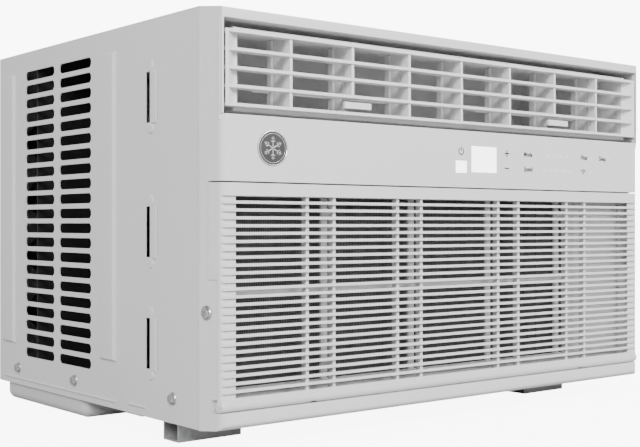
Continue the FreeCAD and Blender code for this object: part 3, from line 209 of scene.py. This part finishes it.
class Finish(Graph):
    """A material: one Principled shader and the pattern nodes that feed it."""

    def __init__(self, name, **constants):
        self.material = bpy.data.materials.new(name)
        self.material.use_nodes = True
        self.tree = self.material.node_tree
        self.shader = self.tree.nodes["Principled BSDF"]
        for label, value in constants.items():
            self.shader.inputs[label.replace("_", " ")].default_value = value
        self.place = self.add("ShaderNodeTexCoord", {}, {}, "Object")

    def noise(self, scale, detail=3.0, rough=0.5, vector=None):
        wants = {"Vector": vector or self.place, "Scale": scale, "Detail": detail,
                 "Roughness": rough}
        return self.add("ShaderNodeTexNoise", {}, wants, "Fac")

    def stretched(self, x, y, z):
        """Object coordinates scaled along each axis, for drawn or brushed grain."""
        return self.add("ShaderNodeMapping", {}, {"Vector": self.place, "Scale": (x, y, z)})

    def cell_tone(self, scale):
        """One random tone for each cell of a packed pattern, as spangle or foam beads."""
        colour = self.add("ShaderNodeTexVoronoi", {}, {"Vector": self.place, "Scale": scale},
                          "Color")
        return self.add("ShaderNodeSeparateColor", {}, {"Color": colour}, "Red")

    def specks(self, scale, share):
        """Small scattered flecks that cover about a share of the surface."""
        return self.noise(scale, 2.0, 0.7).above(1.0 - share)

    def blend(self, amount, first, second):
        """Mix two colours, each a tuple or a wire."""
        return self.add("ShaderNodeMix", {"data_type": "RGBA"},
                        {"Factor": amount, 6: first, 7: second}, 2)

    def drive(self, **links):
        """Feed patterns to the shader; each keyword is a socket name."""
        for label, wire in links.items():
            self.tree.links.new(wire.socket, self.shader.inputs[label.replace("_", " ")])

    def relief(self, height, depth, ease=0.0004):
        """Surface texture of a given depth, on edges eased by a small radius."""
        eased = self.add("ShaderNodeBevel", {"samples": 4}, {"Radius": ease})
        wants = {"Height": height, "Distance": depth, "Strength": 1.0, "Normal": eased}
        self.drive(Normal=self.add("ShaderNodeBump", {}, wants))


def grey(level, warm=0.0):
    """A neutral colour, or one warmed or cooled by a small share."""
    return (level * (1 + warm), level, level * (1 - warm), 1.0)


def clothe(finish, *nodes):
    """Give CAD nodes a finish and smooth shading that keeps their sharp edges."""
    for name in nodes:
        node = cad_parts[name]
        node.data.materials.clear()
        node.data.materials.append(finish.material)
        node.data.polygons.foreach_set("use_smooth", [True] * len(node.data.polygons))
        weld = node.modifiers.new("weld", "WELD")
        weld.merge_threshold = WELD
        split = node.modifiers.new("crisp", "EDGE_SPLIT")
        split.split_angle = CRISP


def powder_coat(name, level):
    """Orange peel over a fine grain, a little cloudy across each panel."""
    finish = Finish(name, Specular_IOR_Level=0.45)
    cloud = finish.noise(7.0, 2.0)
    peel = finish.noise(560.0, 2.0)
    grain = finish.noise(2600.0, 2.0)
    flecks = finish.specks(900.0, 0.27)
    base = finish.blend(cloud, grey(level), grey(level + 0.03, 0.003))
    finish.drive(Base_Color=finish.blend(flecks * 0.25, base, grey(level * 0.82)),
                 Roughness=0.40 + 0.18 * peel)
    finish.relief(peel * 0.7 + grain * 0.3, 0.07 * MM, 0.5 * MM)
    return finish


def galvanised():
    """Zinc spangle: flat cells of slightly different tone and shine, under faint rolling."""
    finish = Finish("galvanised_sheet", Metallic=0.6)
    spangle = finish.cell_tone(170.0)
    rolling = finish.noise(60.0, 3.0, 0.6, finish.stretched(1.0, 14.0, 1.0))
    finish.drive(Base_Color=finish.blend(spangle, grey(0.42), grey(0.55, -0.01)),
                 Roughness=0.32 + 0.16 * spangle + 0.12 * rolling)
    finish.relief(rolling, 0.03 * MM, 0.4 * MM)
    return finish


pan_coat = powder_coat("pan_coat", 0.56)
zinc_sheet = galvanised()
clothe(pan_coat, "base_pan")
clothe(zinc_sheet, "foot_left", "foot_right")

# ---------------------------------------------------------------- compressor and lines
# A drawn steel can in black enamel on four rubber grommets, its bottle-shaped accumulator,
# and brazed copper lines that run to both coils through a spun filter drier.


def enamel():
    """Black stoved paint with slight runs down the can, under a film of dust."""
    finish = Finish("black_enamel", Coat_Weight=0.3, Coat_Roughness=0.25)
    runs = finish.noise(40.0, 3.0, 0.6, finish.stretched(3.0, 3.0, 0.6))
    dust = finish.noise(420.0, 4.0, 0.7)
    finish.drive(Base_Color=finish.blend(dust, grey(0.012), grey(0.035, 0.02)),
                 Roughness=0.28 + 0.25 * dust)
    finish.relief(runs, 0.15 * MM, 1.0 * MM)
    return finish


def copper():
    """Drawn tube: bright, with brown heat bloom where it was brazed."""
    finish = Finish("copper_tube", Metallic=1.0)
    bloom = finish.noise(26.0, 3.0, 0.6)
    drawn = finish.noise(300.0, 3.0, 0.6)
    finish.drive(Base_Color=finish.blend(bloom, (0.72, 0.33, 0.18, 1), (0.36, 0.15, 0.09, 1)),
                 Roughness=0.22 + 0.25 * bloom + 0.1 * drawn)
    finish.relief(drawn, 0.03 * MM, 0.3 * MM)
    return finish


def rubber():
    """Black rubber with a pale bloom and a matt skin."""
    finish = Finish("black_rubber", Specular_IOR_Level=0.3)
    bloom = finish.noise(90.0, 3.0)
    skin = finish.noise(1300.0, 3.0)
    finish.drive(Base_Color=finish.blend(bloom, grey(0.018), grey(0.04)),
                 Roughness=0.62 + 0.2 * skin)
    finish.relief(skin, 0.05 * MM, 0.6 * MM)
    return finish


def zinc_plate():
    """Bright plated fasteners, a little yellowed in the corners."""
    finish = Finish("zinc_plate", Metallic=1.0)
    tarnish = finish.noise(350.0, 3.0, 0.6)
    lathe_marks = finish.noise(2200.0, 2.0)
    finish.drive(Base_Color=finish.blend(tarnish, grey(0.66), grey(0.48, 0.03)),
                 Roughness=0.14 + 0.16 * tarnish + 0.1 * lathe_marks)
    finish.relief(lathe_marks, 0.02 * MM, 0.35 * MM)
    return finish


black_rubber = rubber()
bright_zinc = zinc_plate()
copper_tube = copper()
black_enamel = enamel()
clothe(black_enamel, "compressor", "accumulator")
clothe(copper_tube, "suction_line", "discharge_line", "liquid_line", "filter_drier")
clothe(black_rubber, "compressor_grommets", "drain_plug")
clothe(bright_zinc, "compressor_studs", "foot_screws")

# ---------------------------------------------------------------- coils
# Thin aluminium fins pressed onto serpentine copper tubes, with the hairpin bends showing
# at both ends. Both sets of tubes and the outdoor fins are drawn near black: painted shade for
# the dark inside of the cabinet.


class Grown(Graph):
    """A Geometry Nodes tree with named sizes, turned into a plain mesh when it is done."""

    KINDS = {int: "NodeSocketInt", float: "NodeSocketFloat", tuple: "NodeSocketVector"}

    def __init__(self, name, **measures):
        self.name = name
        self.measures = measures
        self.tree = bpy.data.node_groups.new(name, "GeometryNodeTree")
        face = self.tree.interface
        face.new_socket("Geometry", in_out="OUTPUT", socket_type="NodeSocketGeometry")
        face.new_socket("Geometry", in_out="INPUT", socket_type="NodeSocketGeometry")
        for label, value in measures.items():
            face.new_socket(label, in_out="INPUT", socket_type=self.KINDS[type(value)])
        self.entry = self.tree.nodes.new("NodeGroupInput")

    def size(self, label):
        """One of the tree's named sizes."""
        return Wire(self, self.entry.outputs[label])

    def copies(self, points, piece, **turned):
        """One piece at every point, all turned alike if a Rotation is given."""
        return self.add("GeometryNodeInstanceOnPoints", {},
                        {"Points": points, "Instance": piece, **turned})

    def joined(self, *pieces):
        """Several pieces as one, in the order given."""
        node = self.tree.nodes.new("GeometryNodeJoinGeometry")
        for piece in reversed(pieces):
            self.tree.links.new(piece.socket, node.inputs[0])
        return Wire(self, node.outputs[0])

    def harvest(self, geometry, finish, spots=()):
        """Run the tree on a mesh of loose spots and keep the result as a plain object."""
        real = self.add("GeometryNodeRealizeInstances", {}, {0: geometry})
        done = self.add("GeometryNodeSetMaterial", {},
                        {"Geometry": real, "Material": finish.material})
        exit_node = self.tree.nodes.new("NodeGroupOutput")
        self.tree.links.new(done.socket, exit_node.inputs[0])
        start = bpy.data.meshes.new(self.name + "_seed")
        start.from_pydata(spots, [], [])
        seed = mesh_object(self.name + "_seed", start)
        modifier = seed.modifiers.new("grown", "NODES")
        modifier.node_group = self.tree
        for item in self.tree.interface.items_tree:
            if item.in_out == "INPUT" and item.name in self.measures:
                modifier[item.identifier] = self.measures[item.name]
        graph = bpy.context.evaluated_depsgraph_get()
        mesh = bpy.data.meshes.new_from_object(seed.evaluated_get(graph))
        bpy.data.objects.remove(seed)
        return mesh_object(self.name, mesh)


def aluminium():
    """Rolled foil: bright, with faint dust between the fins."""
    finish = Finish("fin_foil", Metallic=0.9)
    dust = finish.noise(55.0, 3.0, 0.6)
    rolled = finish.noise(500.0, 2.0, 0.5, finish.stretched(1.0, 1.0, 0.1))
    finish.drive(Base_Color=finish.blend(dust, grey(0.55), grey(0.36, 0.01)),
                 Roughness=0.30 + 0.18 * dust + 0.12 * rolled)
    finish.relief(rolled, 0.02 * MM, 0.05 * MM)
    return finish


def coil_painted_shade():
    """Near black painted shade for the dark inside of the cabinet, greyer where dust has settled
    in it.
    """
    finish = Finish("coil_painted_shade", Specular_IOR_Level=0.25)
    dust = finish.noise(48.0, 3.0, 0.6)
    sags = finish.noise(260.0, 2.0)
    finish.drive(Base_Color=finish.blend(dust, grey(0.007), grey(0.016, 0.01)),
                 Roughness=0.42 + 0.2 * dust + 0.1 * sags)
    finish.relief(sags, 0.03 * MM, 0.1 * MM)
    return finish


FIN_PITCH = 1.7 * MM
FIN_THICK = 0.22 * MM
PLATE_THICK = 1.2 * MM
FIN_SHORT = 1.0 * MM
painted_shade_black = coil_painted_shade()


def finned_block(node, finish):
    """Loose fins between two end plates, in the space of one CAD coil."""
    low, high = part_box(node)
    size = high - low
    middle = (low + high) / 2
    count = int(size.x / FIN_PITCH)
    block = Grown(node + "_pack", Count=count, Pitch=(FIN_PITCH, 0.0, 0.0),
                  Start=(low.x + FIN_PITCH / 2, middle.y, middle.z),
                  Fin=(FIN_THICK, size.y - FIN_SHORT, size.z - FIN_SHORT),
                  Plate=(PLATE_THICK, size.y, size.z),
                  PlateStart=(low.x + PLATE_THICK / 2, middle.y, middle.z),
                  PlateGap=(size.x - PLATE_THICK, 0.0, 0.0))
    row = block.add("GeometryNodeMeshLine", {},
                    {"Count": block.size("Count"), "Start Location": block.size("Start"),
                     "Offset": block.size("Pitch")})
    ends = block.add("GeometryNodeMeshLine", {},
                     {"Count": 2, "Start Location": block.size("PlateStart"),
                      "Offset": block.size("PlateGap")})
    fin = block.add("GeometryNodeMeshCube", {}, {"Size": block.size("Fin")})
    plate = block.add("GeometryNodeMeshCube", {}, {"Size": block.size("Plate")})
    fins = block.joined(block.copies(row, fin), block.copies(ends, plate))
    piece = block.harvest(fins, finish)
    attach(piece, "chassis")
    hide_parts(node)


finned_block("evaporator_fins", aluminium())
# The outdoor fins and both sets of tubes take the near-black painted shade.
finned_block("condenser_fins", painted_shade_black)
clothe(painted_shade_black, "evaporator_tubes", "condenser_tubes")

# ---------------------------------------------------------------- fan deck
# A zinc bulkhead parts indoors from outdoors. The motor sits on a folded stand and turns a
# moulded blower wheel in a foam scroll and, behind it, the fan with its slinger ring.


def foam(name, level):
    """Expanded polystyrene: small closed beads pressed together."""
    finish = Finish(name, Specular_IOR_Level=0.25)
    beads = finish.cell_tone(330.0)
    cloud = finish.noise(14.0, 2.0)
    finish.drive(Base_Color=finish.blend(beads * 0.4 + cloud * 0.4, grey(level),
                                         grey(level + 0.06)),
                 Roughness=0.7 + 0.15 * beads)
    finish.relief(beads, 0.15 * MM, 0.8 * MM)
    return finish


def moulded(name, level, depth, rough, ease=0.5):
    """Injection moulded plastic with a spark-eroded texture of a given depth."""
    finish = Finish(name, Specular_IOR_Level=0.4)
    cloud = finish.noise(6.0, 2.0)
    grain = finish.noise(2100.0, 3.0, 0.6)
    flow = finish.noise(38.0, 3.0)
    finish.drive(Base_Color=finish.blend(cloud, grey(level), grey(level * 1.04 + 0.002, 0.002)),
                 Roughness=(rough - 0.08) + 0.1 * grain + 0.06 * flow)
    finish.relief(grain, depth * MM, ease * MM)
    return finish


# Near-black plastic, partly its own colour and partly painted shade: it darkens the fans and
# shroud to match the dark inside of the cabinet.
dark_plastic_and_shade = moulded("dark_plastic_and_shade", 0.014, 0.04, 0.5)
clothe(foam("white_foam", 0.72), "air_duct")
clothe(foam("grey_foam", 0.16), "scroll_housing")
clothe(dark_plastic_and_shade, "blower_wheel", "condenser_fan", "fan_shroud", "terminal_cover",
       "cord_gland")
clothe(black_enamel, "fan_motor")
clothe(bright_zinc, "motor_shaft")
# The bulkhead and motor bracket are zinc but drawn near black: painted shade for the dark inside
# of the cabinet.
clothe(powder_coat("painted_shade_coat", 0.016), "bulkhead", "motor_bracket")

# ---------------------------------------------------------------- power box
# A folded zinc box beside the cold coil, closed by a dark painted cover. Inside are the
# power board, with solder mask over its copper, and the run capacitor in its drawn can.


def solder_mask():
    """Green mask with the copper tracks showing through as paler lines."""
    finish = Finish("solder_mask", Coat_Weight=0.5, Coat_Roughness=0.15)
    tracks = finish.add("ShaderNodeTexBrick", {},
                        {"Vector": finish.place, "Scale": 120.0, "Mortar Size": 0.12}, "Fac")
    haze = finish.noise(60.0, 2.0)
    finish.drive(Base_Color=finish.blend(tracks, (0.012, 0.10, 0.04, 1), (0.03, 0.2, 0.08, 1)),
                 Roughness=0.25 + 0.15 * haze)
    finish.relief(tracks, 0.04 * MM, 0.2 * MM)
    return finish


clothe(zinc_sheet, "electrical_box")
clothe(powder_coat("cover_coat", 0.2), "electrical_cover")
clothe(solder_mask(), "power_board", "touch_board")
clothe(bright_zinc, "run_capacitor")

# ---------------------------------------------------------------- cabinet and rear guard
# The hood is one folded sheet, top and sides, with stamped vents, stiffening strips and
# lanced hooks; the guard over the outdoor coil is stamped from the same coated sheet.
cabinet_coat = powder_coat("cabinet_coat", 0.63)
clothe(cabinet_coat, "cabinet_shell", "rear_grille")

# ---------------------------------------------------------------- side screws
# Zinc hex screws with pressed washer faces hold the hood to the pan, and one more at each
# side holds the bezel in its counterbore. Radii at foot and top first, then heights.
FLANGE = (5.0 * MM, 4.3 * MM, 0.9 * MM)
HEX = (3.8 * MM, 1.8 * MM)
CROWN = (2.9 * MM, 0.45 * MM)
SHANK = (2.0 * MM, 7.0 * MM)
HEAD_LONG = FLANGE[2] + HEX[1] + CROWN[1]


def screw_places(node, side):
    """The foot of each screw head of one CAD group that stands on one side wall."""
    loose = bmesh.new()
    loose.from_mesh(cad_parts[node].data)
    bmesh.ops.remove_doubles(loose, verts=loose.verts, dist=WELD)
    left = set(loose.verts)
    feet = []
    while left:
        island = [left.pop()]
        for vertex in island:
            for edge in vertex.link_edges:
                other = edge.other_vert(vertex)
                if other in left:
                    left.remove(other)
                    island.append(other)
        spots = [vertex.co for vertex in island]
        tip = max(spot.x * side for spot in spots)
        if tip > 0:
            deep = (max(spot.y for spot in spots) + min(spot.y for spot in spots)) / 2
            high = (max(spot.z for spot in spots) + min(spot.z for spot in spots)) / 2
            feet.append((side * (tip - HEAD_LONG), deep, high))
    loose.free()
    return sorted(feet)


def washer_screws(node, side, label):
    """Hex heads on pressed washers, one tree for each side of a CAD group."""
    tree = Grown(node + label, Flange=FLANGE[0], FlangeTop=FLANGE[1], FlangeHigh=FLANGE[2],
                 Hex=HEX[0], HexHigh=HEX[1], Crown=CROWN[0], CrownHigh=CROWN[1],
                 Shank=SHANK[0], ShankLong=SHANK[1], Turn=(0.0, side * math.pi / 2, 0.0),
                 HexAt=(0.0, 0.0, FLANGE[2]), CrownAt=(0.0, 0.0, FLANGE[2] + HEX[1]),
                 ShankAt=(0.0, 0.0, -SHANK[1]))
    layers = []
    for sides, low, top, high, at in ((28, "Flange", "FlangeTop", "FlangeHigh", None),
                                      (6, "Hex", "Hex", "HexHigh", "HexAt"),
                                      (6, "Hex", "Crown", "CrownHigh", "CrownAt"),
                                      (12, "Shank", "Shank", "ShankLong", "ShankAt")):
        layer = tree.add("GeometryNodeMeshCone", {},
                         {"Vertices": sides, "Radius Bottom": tree.size(low),
                          "Radius Top": tree.size(top), "Depth": tree.size(high)})
        if at:
            layer = tree.add("GeometryNodeTransform", {},
                             {"Geometry": layer, "Translation": tree.size(at)})
        layers.append(layer)
    heads = tree.copies(tree.size("Geometry"), tree.joined(*layers), Rotation=tree.size("Turn"))
    piece = tree.harvest(heads, bright_zinc, screw_places(node, side))
    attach(piece, "chassis")
    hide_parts(node)


for group in ("cabinet_screws", "bezel_screws"):
    washer_screws(group, -1, "_left")
    washer_screws(group, 1, "_right")

# ---------------------------------------------------------------- bezel
# The front is one light grey moulding that snaps round the cabinet's front edge and is
# held by a screw at each side; its texture is fine and even.
bezel_plastic = moulded("bezel_plastic", 0.635, 0.05, 0.33, 0.6)
clothe(bezel_plastic, "front_panel")

# ---------------------------------------------------------------- louvre
# Five blades on upright ribs tilt as one frame; upright vanes behind them turn in two
# linked sets. All are moulded in the bezel's colour with a smoother skin.
louvre_plastic = moulded("louvre_plastic", 0.68, 0.02, 0.34, 0.35)
clothe(louvre_plastic, "louvre_barrel", "link_left", "link_right",
       *["vane_%d" % number for number in range(1, 8)])

# ---------------------------------------------------------------- intake grille and filter
# The slotted grille drops forward on two pins. The washable filter lies behind it: a grey
# moulded frame with a woven net welded into it.
MESH_PITCH = 1.5 * MM
THREAD = 0.34 * MM
grille_plastic = moulded("grille_plastic", 0.635, 0.03, 0.36, 0.3)
clothe(grille_plastic, "inlet_grille")
clothe(moulded("filter_plastic", 0.50, 0.03, 0.5), "filter_frame")


def nylon():
    """Dark monofilament, dulled where lint has caught in it."""
    finish = Finish("nylon_thread", Specular_IOR_Level=0.5)
    lint = finish.noise(120.0, 3.0, 0.7)
    twist = finish.noise(2600.0, 2.0)
    finish.drive(Base_Color=finish.blend(lint, grey(0.075), grey(0.11)),
                 Roughness=0.4 + 0.2 * twist)
    finish.relief(twist, 0.02 * MM, 0.05 * MM)
    return finish


def woven_net():
    """Two layers of straight threads, one across and one upright."""
    low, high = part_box("filter_mesh")
    size = high - low
    middle = (low + high) / 2
    net = Grown("filter_net", Across=int(size.z / MESH_PITCH), Upright=int(size.x / MESH_PITCH),
                StepUp=(0.0, 0.0, MESH_PITCH), StepAlong=(MESH_PITCH, 0.0, 0.0),
                Bottom=(middle.x, middle.y + THREAD / 2.2, low.z + MESH_PITCH / 2),
                Left=(low.x + MESH_PITCH / 2, middle.y - THREAD / 2.2, middle.z),
                Weft=(size.x, THREAD, THREAD), Warp=(THREAD, THREAD, size.z))
    layers = []
    for count, start, step, thread in (("Across", "Bottom", "StepUp", "Weft"),
                                       ("Upright", "Left", "StepAlong", "Warp")):
        line = net.add("GeometryNodeMeshLine", {},
                       {"Count": net.size(count), "Start Location": net.size(start),
                        "Offset": net.size(step)})
        bar = net.add("GeometryNodeMeshCube", {}, {"Size": net.size(thread)})
        layers.append(net.copies(line, bar))
    piece = net.harvest(net.joined(*layers), nylon())
    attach(piece, "grille")
    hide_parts("filter_mesh")


woven_net()

# ---------------------------------------------------------------- control band
# Printed legends and symbols over touch pads, rows of small marks for the lamps behind
# the skin, a pale display window and the smaller receiver window under the power mark.
PRINT_THICK = 0.05 * MM
LETTER_HIGH = 4.0
LETTER_NARROW = 0.82
LETTER_BOLD = 0.03
CAPITAL_SHARE = 0.70
FINE_WELD = 0.002 * MM
display_low, display_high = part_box("display_window")
display = (display_low + display_high) / 2
panel_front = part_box("front_panel")[0].y
UPPER_ROW = 6.2
LOWER_ROW = -6.5
WORDS = (("Mode", 48.0, UPPER_ROW), ("Speed", 48.0, LOWER_ROW), ("Filter", 123.0, UPPER_ROW),
         ("Sleep", 148.6, UPPER_ROW))
POWER_AT = (-26.6, 6.0)
POWER_RADIUS, POWER_STROKE = 2.7, 0.95
SIGN_X, SIGN_HALF, SIGN_STROKE = 27.2, 2.8, 1.05
SIGN_RISE, SIGN_BREAK = 2.9, 0.5
WAVES_AT = (126.6, LOWER_ROW - 2.4)
WAVE_RADII, WAVE_SPREAD, WAVE_STROKE = (0.6, 2.3, 4.1), 48, 1.0
LAMP_ROWS = ((76.5, 4, UPPER_ROW), (71.5, 5, LOWER_ROW))
LAMP_PITCH, LAMP_LONG, LAMP_HIGH = 8.4, 4.4, 1.1
DOTS = ((137.0, UPPER_ROW), (162.4, UPPER_ROW), (135.6, LOWER_ROW))
DOT_WIDE = 1.7


def ink():
    """Nearly black printing ink with a dry, speckled surface."""
    finish = Finish("dark_ink", Specular_IOR_Level=0.3)
    speckle = finish.noise(3000.0, 2.0)
    finish.drive(Base_Color=finish.blend(speckle, grey(0.012), grey(0.03)),
                 Roughness=0.5 + 0.15 * speckle)
    return finish


def faint_ink():
    """Nearly white printing ink, a little glossier than the dark one."""
    finish = Finish("faint_ink", Specular_IOR_Level=0.4)
    speckle = finish.noise(2400.0, 2.0)
    finish.drive(Base_Color=finish.blend(speckle, grey(0.80), grey(0.88)),
                 Roughness=0.35 + 0.1 * speckle)
    return finish


def window_plastic():
    """Pale diffusing lens, polished on its face, with an emission that paints a glow on it as if
    lit.
    """
    # Painted glow: the emission makes the windows look lit from behind.
    finish = Finish("window_plastic", Coat_Weight=0.6, Coat_Roughness=0.08,
                    Emission_Strength=3.4)
    cloud = finish.noise(45.0, 2.0)
    finish.drive(Base_Color=finish.blend(cloud, grey(0.9), grey(0.96)),
                 Emission_Color=finish.blend(cloud, grey(0.9), grey(1.0)),
                 Roughness=0.18 + 0.06 * cloud)
    finish.relief(cloud, 0.01 * MM, 0.25 * MM)
    return finish


def ribbon(sheet, path, width, closed=False):
    """Add a flat stroke to a mesh; its path is (across, up) pairs in millimetres."""
    count = len(path)
    rows = []
    for index, (across, up) in enumerate(path):
        before = path[index - 1] if index or closed else path[index]
        after = path[(index + 1) % count] if index < count - 1 or closed else path[index]
        along = Vector((after[0] - before[0], after[1] - before[1])).normalized()
        side = Vector((-along.y, along.x)) * width / 2
        row = []
        for sign, depth in ((1, 0.0), (-1, 0.0), (-1, 1.0), (1, 1.0)):
            spot = Vector((across, up)) + side * sign
            row.append(sheet.verts.new((spot.x * MM, depth * PRINT_THICK, spot.y * MM)))
        rows.append(row)
    spans = list(zip(rows, rows[1:])) + ([(rows[-1], rows[0])] if closed else [])
    for first, second in spans:
        for corner in range(4):
            after = (corner + 1) % 4
            sheet.faces.new((first[corner], first[after], second[after], second[corner]))
    if not closed:
        sheet.faces.new(rows[0][::-1])
        sheet.faces.new(rows[-1])


def arc(centre, radius, start, end, steps=24):
    """Points on part of a circle, angles in degrees from straight up, clockwise."""
    points = []
    for index in range(steps + 1):
        angle = math.radians(start + (end - start) * index / steps)
        points.append((centre[0] + radius * math.sin(angle),
                       centre[1] + radius * math.cos(angle)))
    return points


def finished(name, sheet, finish, shift):
    """Make a piece of a built mesh, in its place on the fixed body."""
    bmesh.ops.recalc_face_normals(sheet, faces=sheet.faces)
    mesh = bpy.data.meshes.new(name)
    sheet.to_mesh(mesh)
    sheet.free()
    mesh.transform(Matrix.Translation(shift))
    mesh.materials.append(finish.material)
    piece = mesh_object(name, mesh)
    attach(piece, "chassis")
    return piece


def word(text, across, up):
    """A printed word: its left end and middle height from the display, in millimetres."""
    curve = bpy.data.curves.new("legend_" + text, "FONT")
    curve.body = text
    curve.size = 1.0
    curve.align_y = "CENTER"
    curve.offset = LETTER_BOLD
    curve.resolution_u = 4
    seed = mesh_object("legend_seed", curve)
    graph = bpy.context.evaluated_depsgraph_get()
    mesh = bpy.data.meshes.new_from_object(seed.evaluated_get(graph))
    bpy.data.objects.remove(seed)
    scale = LETTER_HIGH / CAPITAL_SHARE * MM
    mesh.transform(Matrix.Diagonal((scale * LETTER_NARROW, scale, scale, 1)))
    mesh.transform(Matrix.Rotation(math.radians(90), 4, "X"))
    flat = bmesh.new()
    flat.from_mesh(mesh)
    bpy.data.meshes.remove(mesh)
    bmesh.ops.remove_doubles(flat, verts=flat.verts, dist=FINE_WELD)
    skin = list(flat.faces)
    grown = bmesh.ops.extrude_face_region(flat, geom=skin)
    moved = [item for item in grown["geom"] if isinstance(item, bmesh.types.BMVert)]
    bmesh.ops.translate(flat, verts=moved, vec=(0, PRINT_THICK, 0))
    shift = Vector((display.x + across * MM, panel_front - PRINT_THICK / 2,
                    display.z + up * MM))
    finished("legend_" + text.lower(), flat, dark_ink, shift)


dark_ink = ink()
pale_ink = faint_ink()
clothe(window_plastic(), "display_window", "receiver_window")
for text, across, up in WORDS:
    word(text, across, up)
print_shift = Vector((display.x, panel_front - PRINT_THICK / 2, display.z))

symbols = bmesh.new()
ribbon(symbols, arc(POWER_AT, POWER_RADIUS, 34, 326), POWER_STROKE)
ribbon(symbols, [(POWER_AT[0], POWER_AT[1] + 0.5), (POWER_AT[0], POWER_AT[1] + 3.6)],
       POWER_STROKE)
for level in (UPPER_ROW, LOWER_ROW):
    ribbon(symbols, [(SIGN_X - SIGN_HALF, level), (SIGN_X + SIGN_HALF, level)], SIGN_STROKE)
for start, end in ((SIGN_RISE, SIGN_BREAK), (-SIGN_BREAK, -SIGN_RISE)):
    ribbon(symbols, [(SIGN_X, UPPER_ROW + start), (SIGN_X, UPPER_ROW + end)], SIGN_STROKE)
for radius in WAVE_RADII:
    ribbon(symbols, arc(WAVES_AT, radius, -WAVE_SPREAD, WAVE_SPREAD, 10), WAVE_STROKE)
finished("panel_symbols", symbols, dark_ink, print_shift)

lamps = bmesh.new()
for start, count, level in LAMP_ROWS:
    for index in range(count):
        left = start + LAMP_PITCH * index
        ribbon(lamps, [(left, level), (left + LAMP_LONG, level)], LAMP_HIGH)
for left, level in DOTS:
    ribbon(lamps, [(left, level), (left + DOT_WIDE, level)], DOT_WIDE)
finished("lamp_marks", lamps, pale_ink, print_shift)

# ---------------------------------------------------------------- medallion
# A round cast badge pressed into the band: a dark sunk face inside a bright rim, with a
# six-armed snow crystal standing up from the face.
badge_low, badge_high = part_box("badge")
badge = (badge_low + badge_high) / 2
BADGE_RADIUS = (badge_high.x - badge_low.x) / 2 / MM
RIM_WIDE = 0.9
RIM_FOOT = 0.3
FACE_SUNK = 0.35
CRYSTAL_ARM, ARM_WIDE = 8.2, 0.8
BARBS = ((4.0, 2.4), (6.2, 1.7))
BARB_TURN, BARB_WIDE = 50, 0.6
HALO_IN, HALO_WIDE = 2.2, 0.35
CRYSTAL_PROUD = 0.04


def lathe(name, profile, finish):
    """Spin (radius, depth) pairs in millimetres about the axis that runs front to back."""
    turned = bmesh.new()
    ring = [turned.verts.new((radius * MM, depth * MM, 0)) for radius, depth in profile]
    edges = [turned.edges.new(pair) for pair in zip(ring, ring[1:])]
    bmesh.ops.spin(turned, geom=ring + edges, axis=(0, 1, 0), cent=(0, 0, 0), steps=96,
                   angle=2 * math.pi, use_duplicate=False)
    bmesh.ops.remove_doubles(turned, verts=turned.verts, dist=FINE_WELD)
    piece = finished(name, turned, finish, badge_place)
    piece.data.polygons.foreach_set("use_smooth", [True] * len(piece.data.polygons))
    split = piece.modifiers.new("crisp", "EDGE_SPLIT")
    split.split_angle = CRISP
    return piece


def badge_face():
    """Dark plated face, spun to a fine grain."""
    finish = Finish("badge_face", Metallic=0.7)
    spun = finish.noise(900.0, 2.0)
    cloud = finish.noise(120.0, 2.0)
    finish.drive(Base_Color=finish.blend(cloud, grey(0.055), grey(0.08)),
                 Roughness=0.34 + 0.15 * spun)
    finish.relief(spun, 0.02 * MM, 0.2 * MM)
    return finish


def badge_bright():
    """Polished nickel on the parts that stand up."""
    finish = Finish("badge_bright", Metallic=0.85)
    polish = finish.noise(1500.0, 2.0)
    finish.drive(Base_Color=finish.blend(polish, grey(0.72), grey(0.82)),
                 Roughness=0.2 + 0.12 * polish)
    finish.relief(polish, 0.01 * MM, 0.15 * MM)
    return finish


badge_place = Vector((badge.x, badge_low.y, badge.z))
back_depth = (badge_high.y - badge_low.y) / MM
face_radius = BADGE_RADIUS - RIM_WIDE
bright = badge_bright()
face = lathe("badge_disc", [(0.0, FACE_SUNK), (face_radius, FACE_SUNK),
                            (face_radius, back_depth), (0.0, back_depth)], badge_face())
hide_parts("badge")
lathe("badge_rim", [(face_radius, back_depth), (face_radius, RIM_FOOT),
                    (BADGE_RADIUS - RIM_WIDE * 0.7, 0.04), (BADGE_RADIUS - RIM_WIDE * 0.4, 0.0),
                    (BADGE_RADIUS - 0.1, 0.12), (BADGE_RADIUS, 0.4), (BADGE_RADIUS, back_depth),
                    (face_radius, back_depth)], bright)
crystal = bmesh.new()
for step in range(6):
    angle = math.radians(60 * step)
    out = Vector((math.sin(angle), math.cos(angle)))
    ribbon(crystal, [out * 0.4, out * CRYSTAL_ARM], ARM_WIDE)
    for reach, barb in BARBS:
        for turn in (-BARB_TURN, BARB_TURN):
            aim = angle + math.radians(turn)
            tip = Vector((math.sin(aim), math.cos(aim)))
            ribbon(crystal, [out * reach, out * reach + tip * barb], BARB_WIDE)
ribbon(crystal, arc((0, 0), BADGE_RADIUS - HALO_IN, 0, 352.5, 47), HALO_WIDE, closed=True)
finished("badge_crystal", crystal, bright,
         badge_place + Vector((0, (FACE_SUNK - CRYSTAL_PROUD) * MM, 0)))
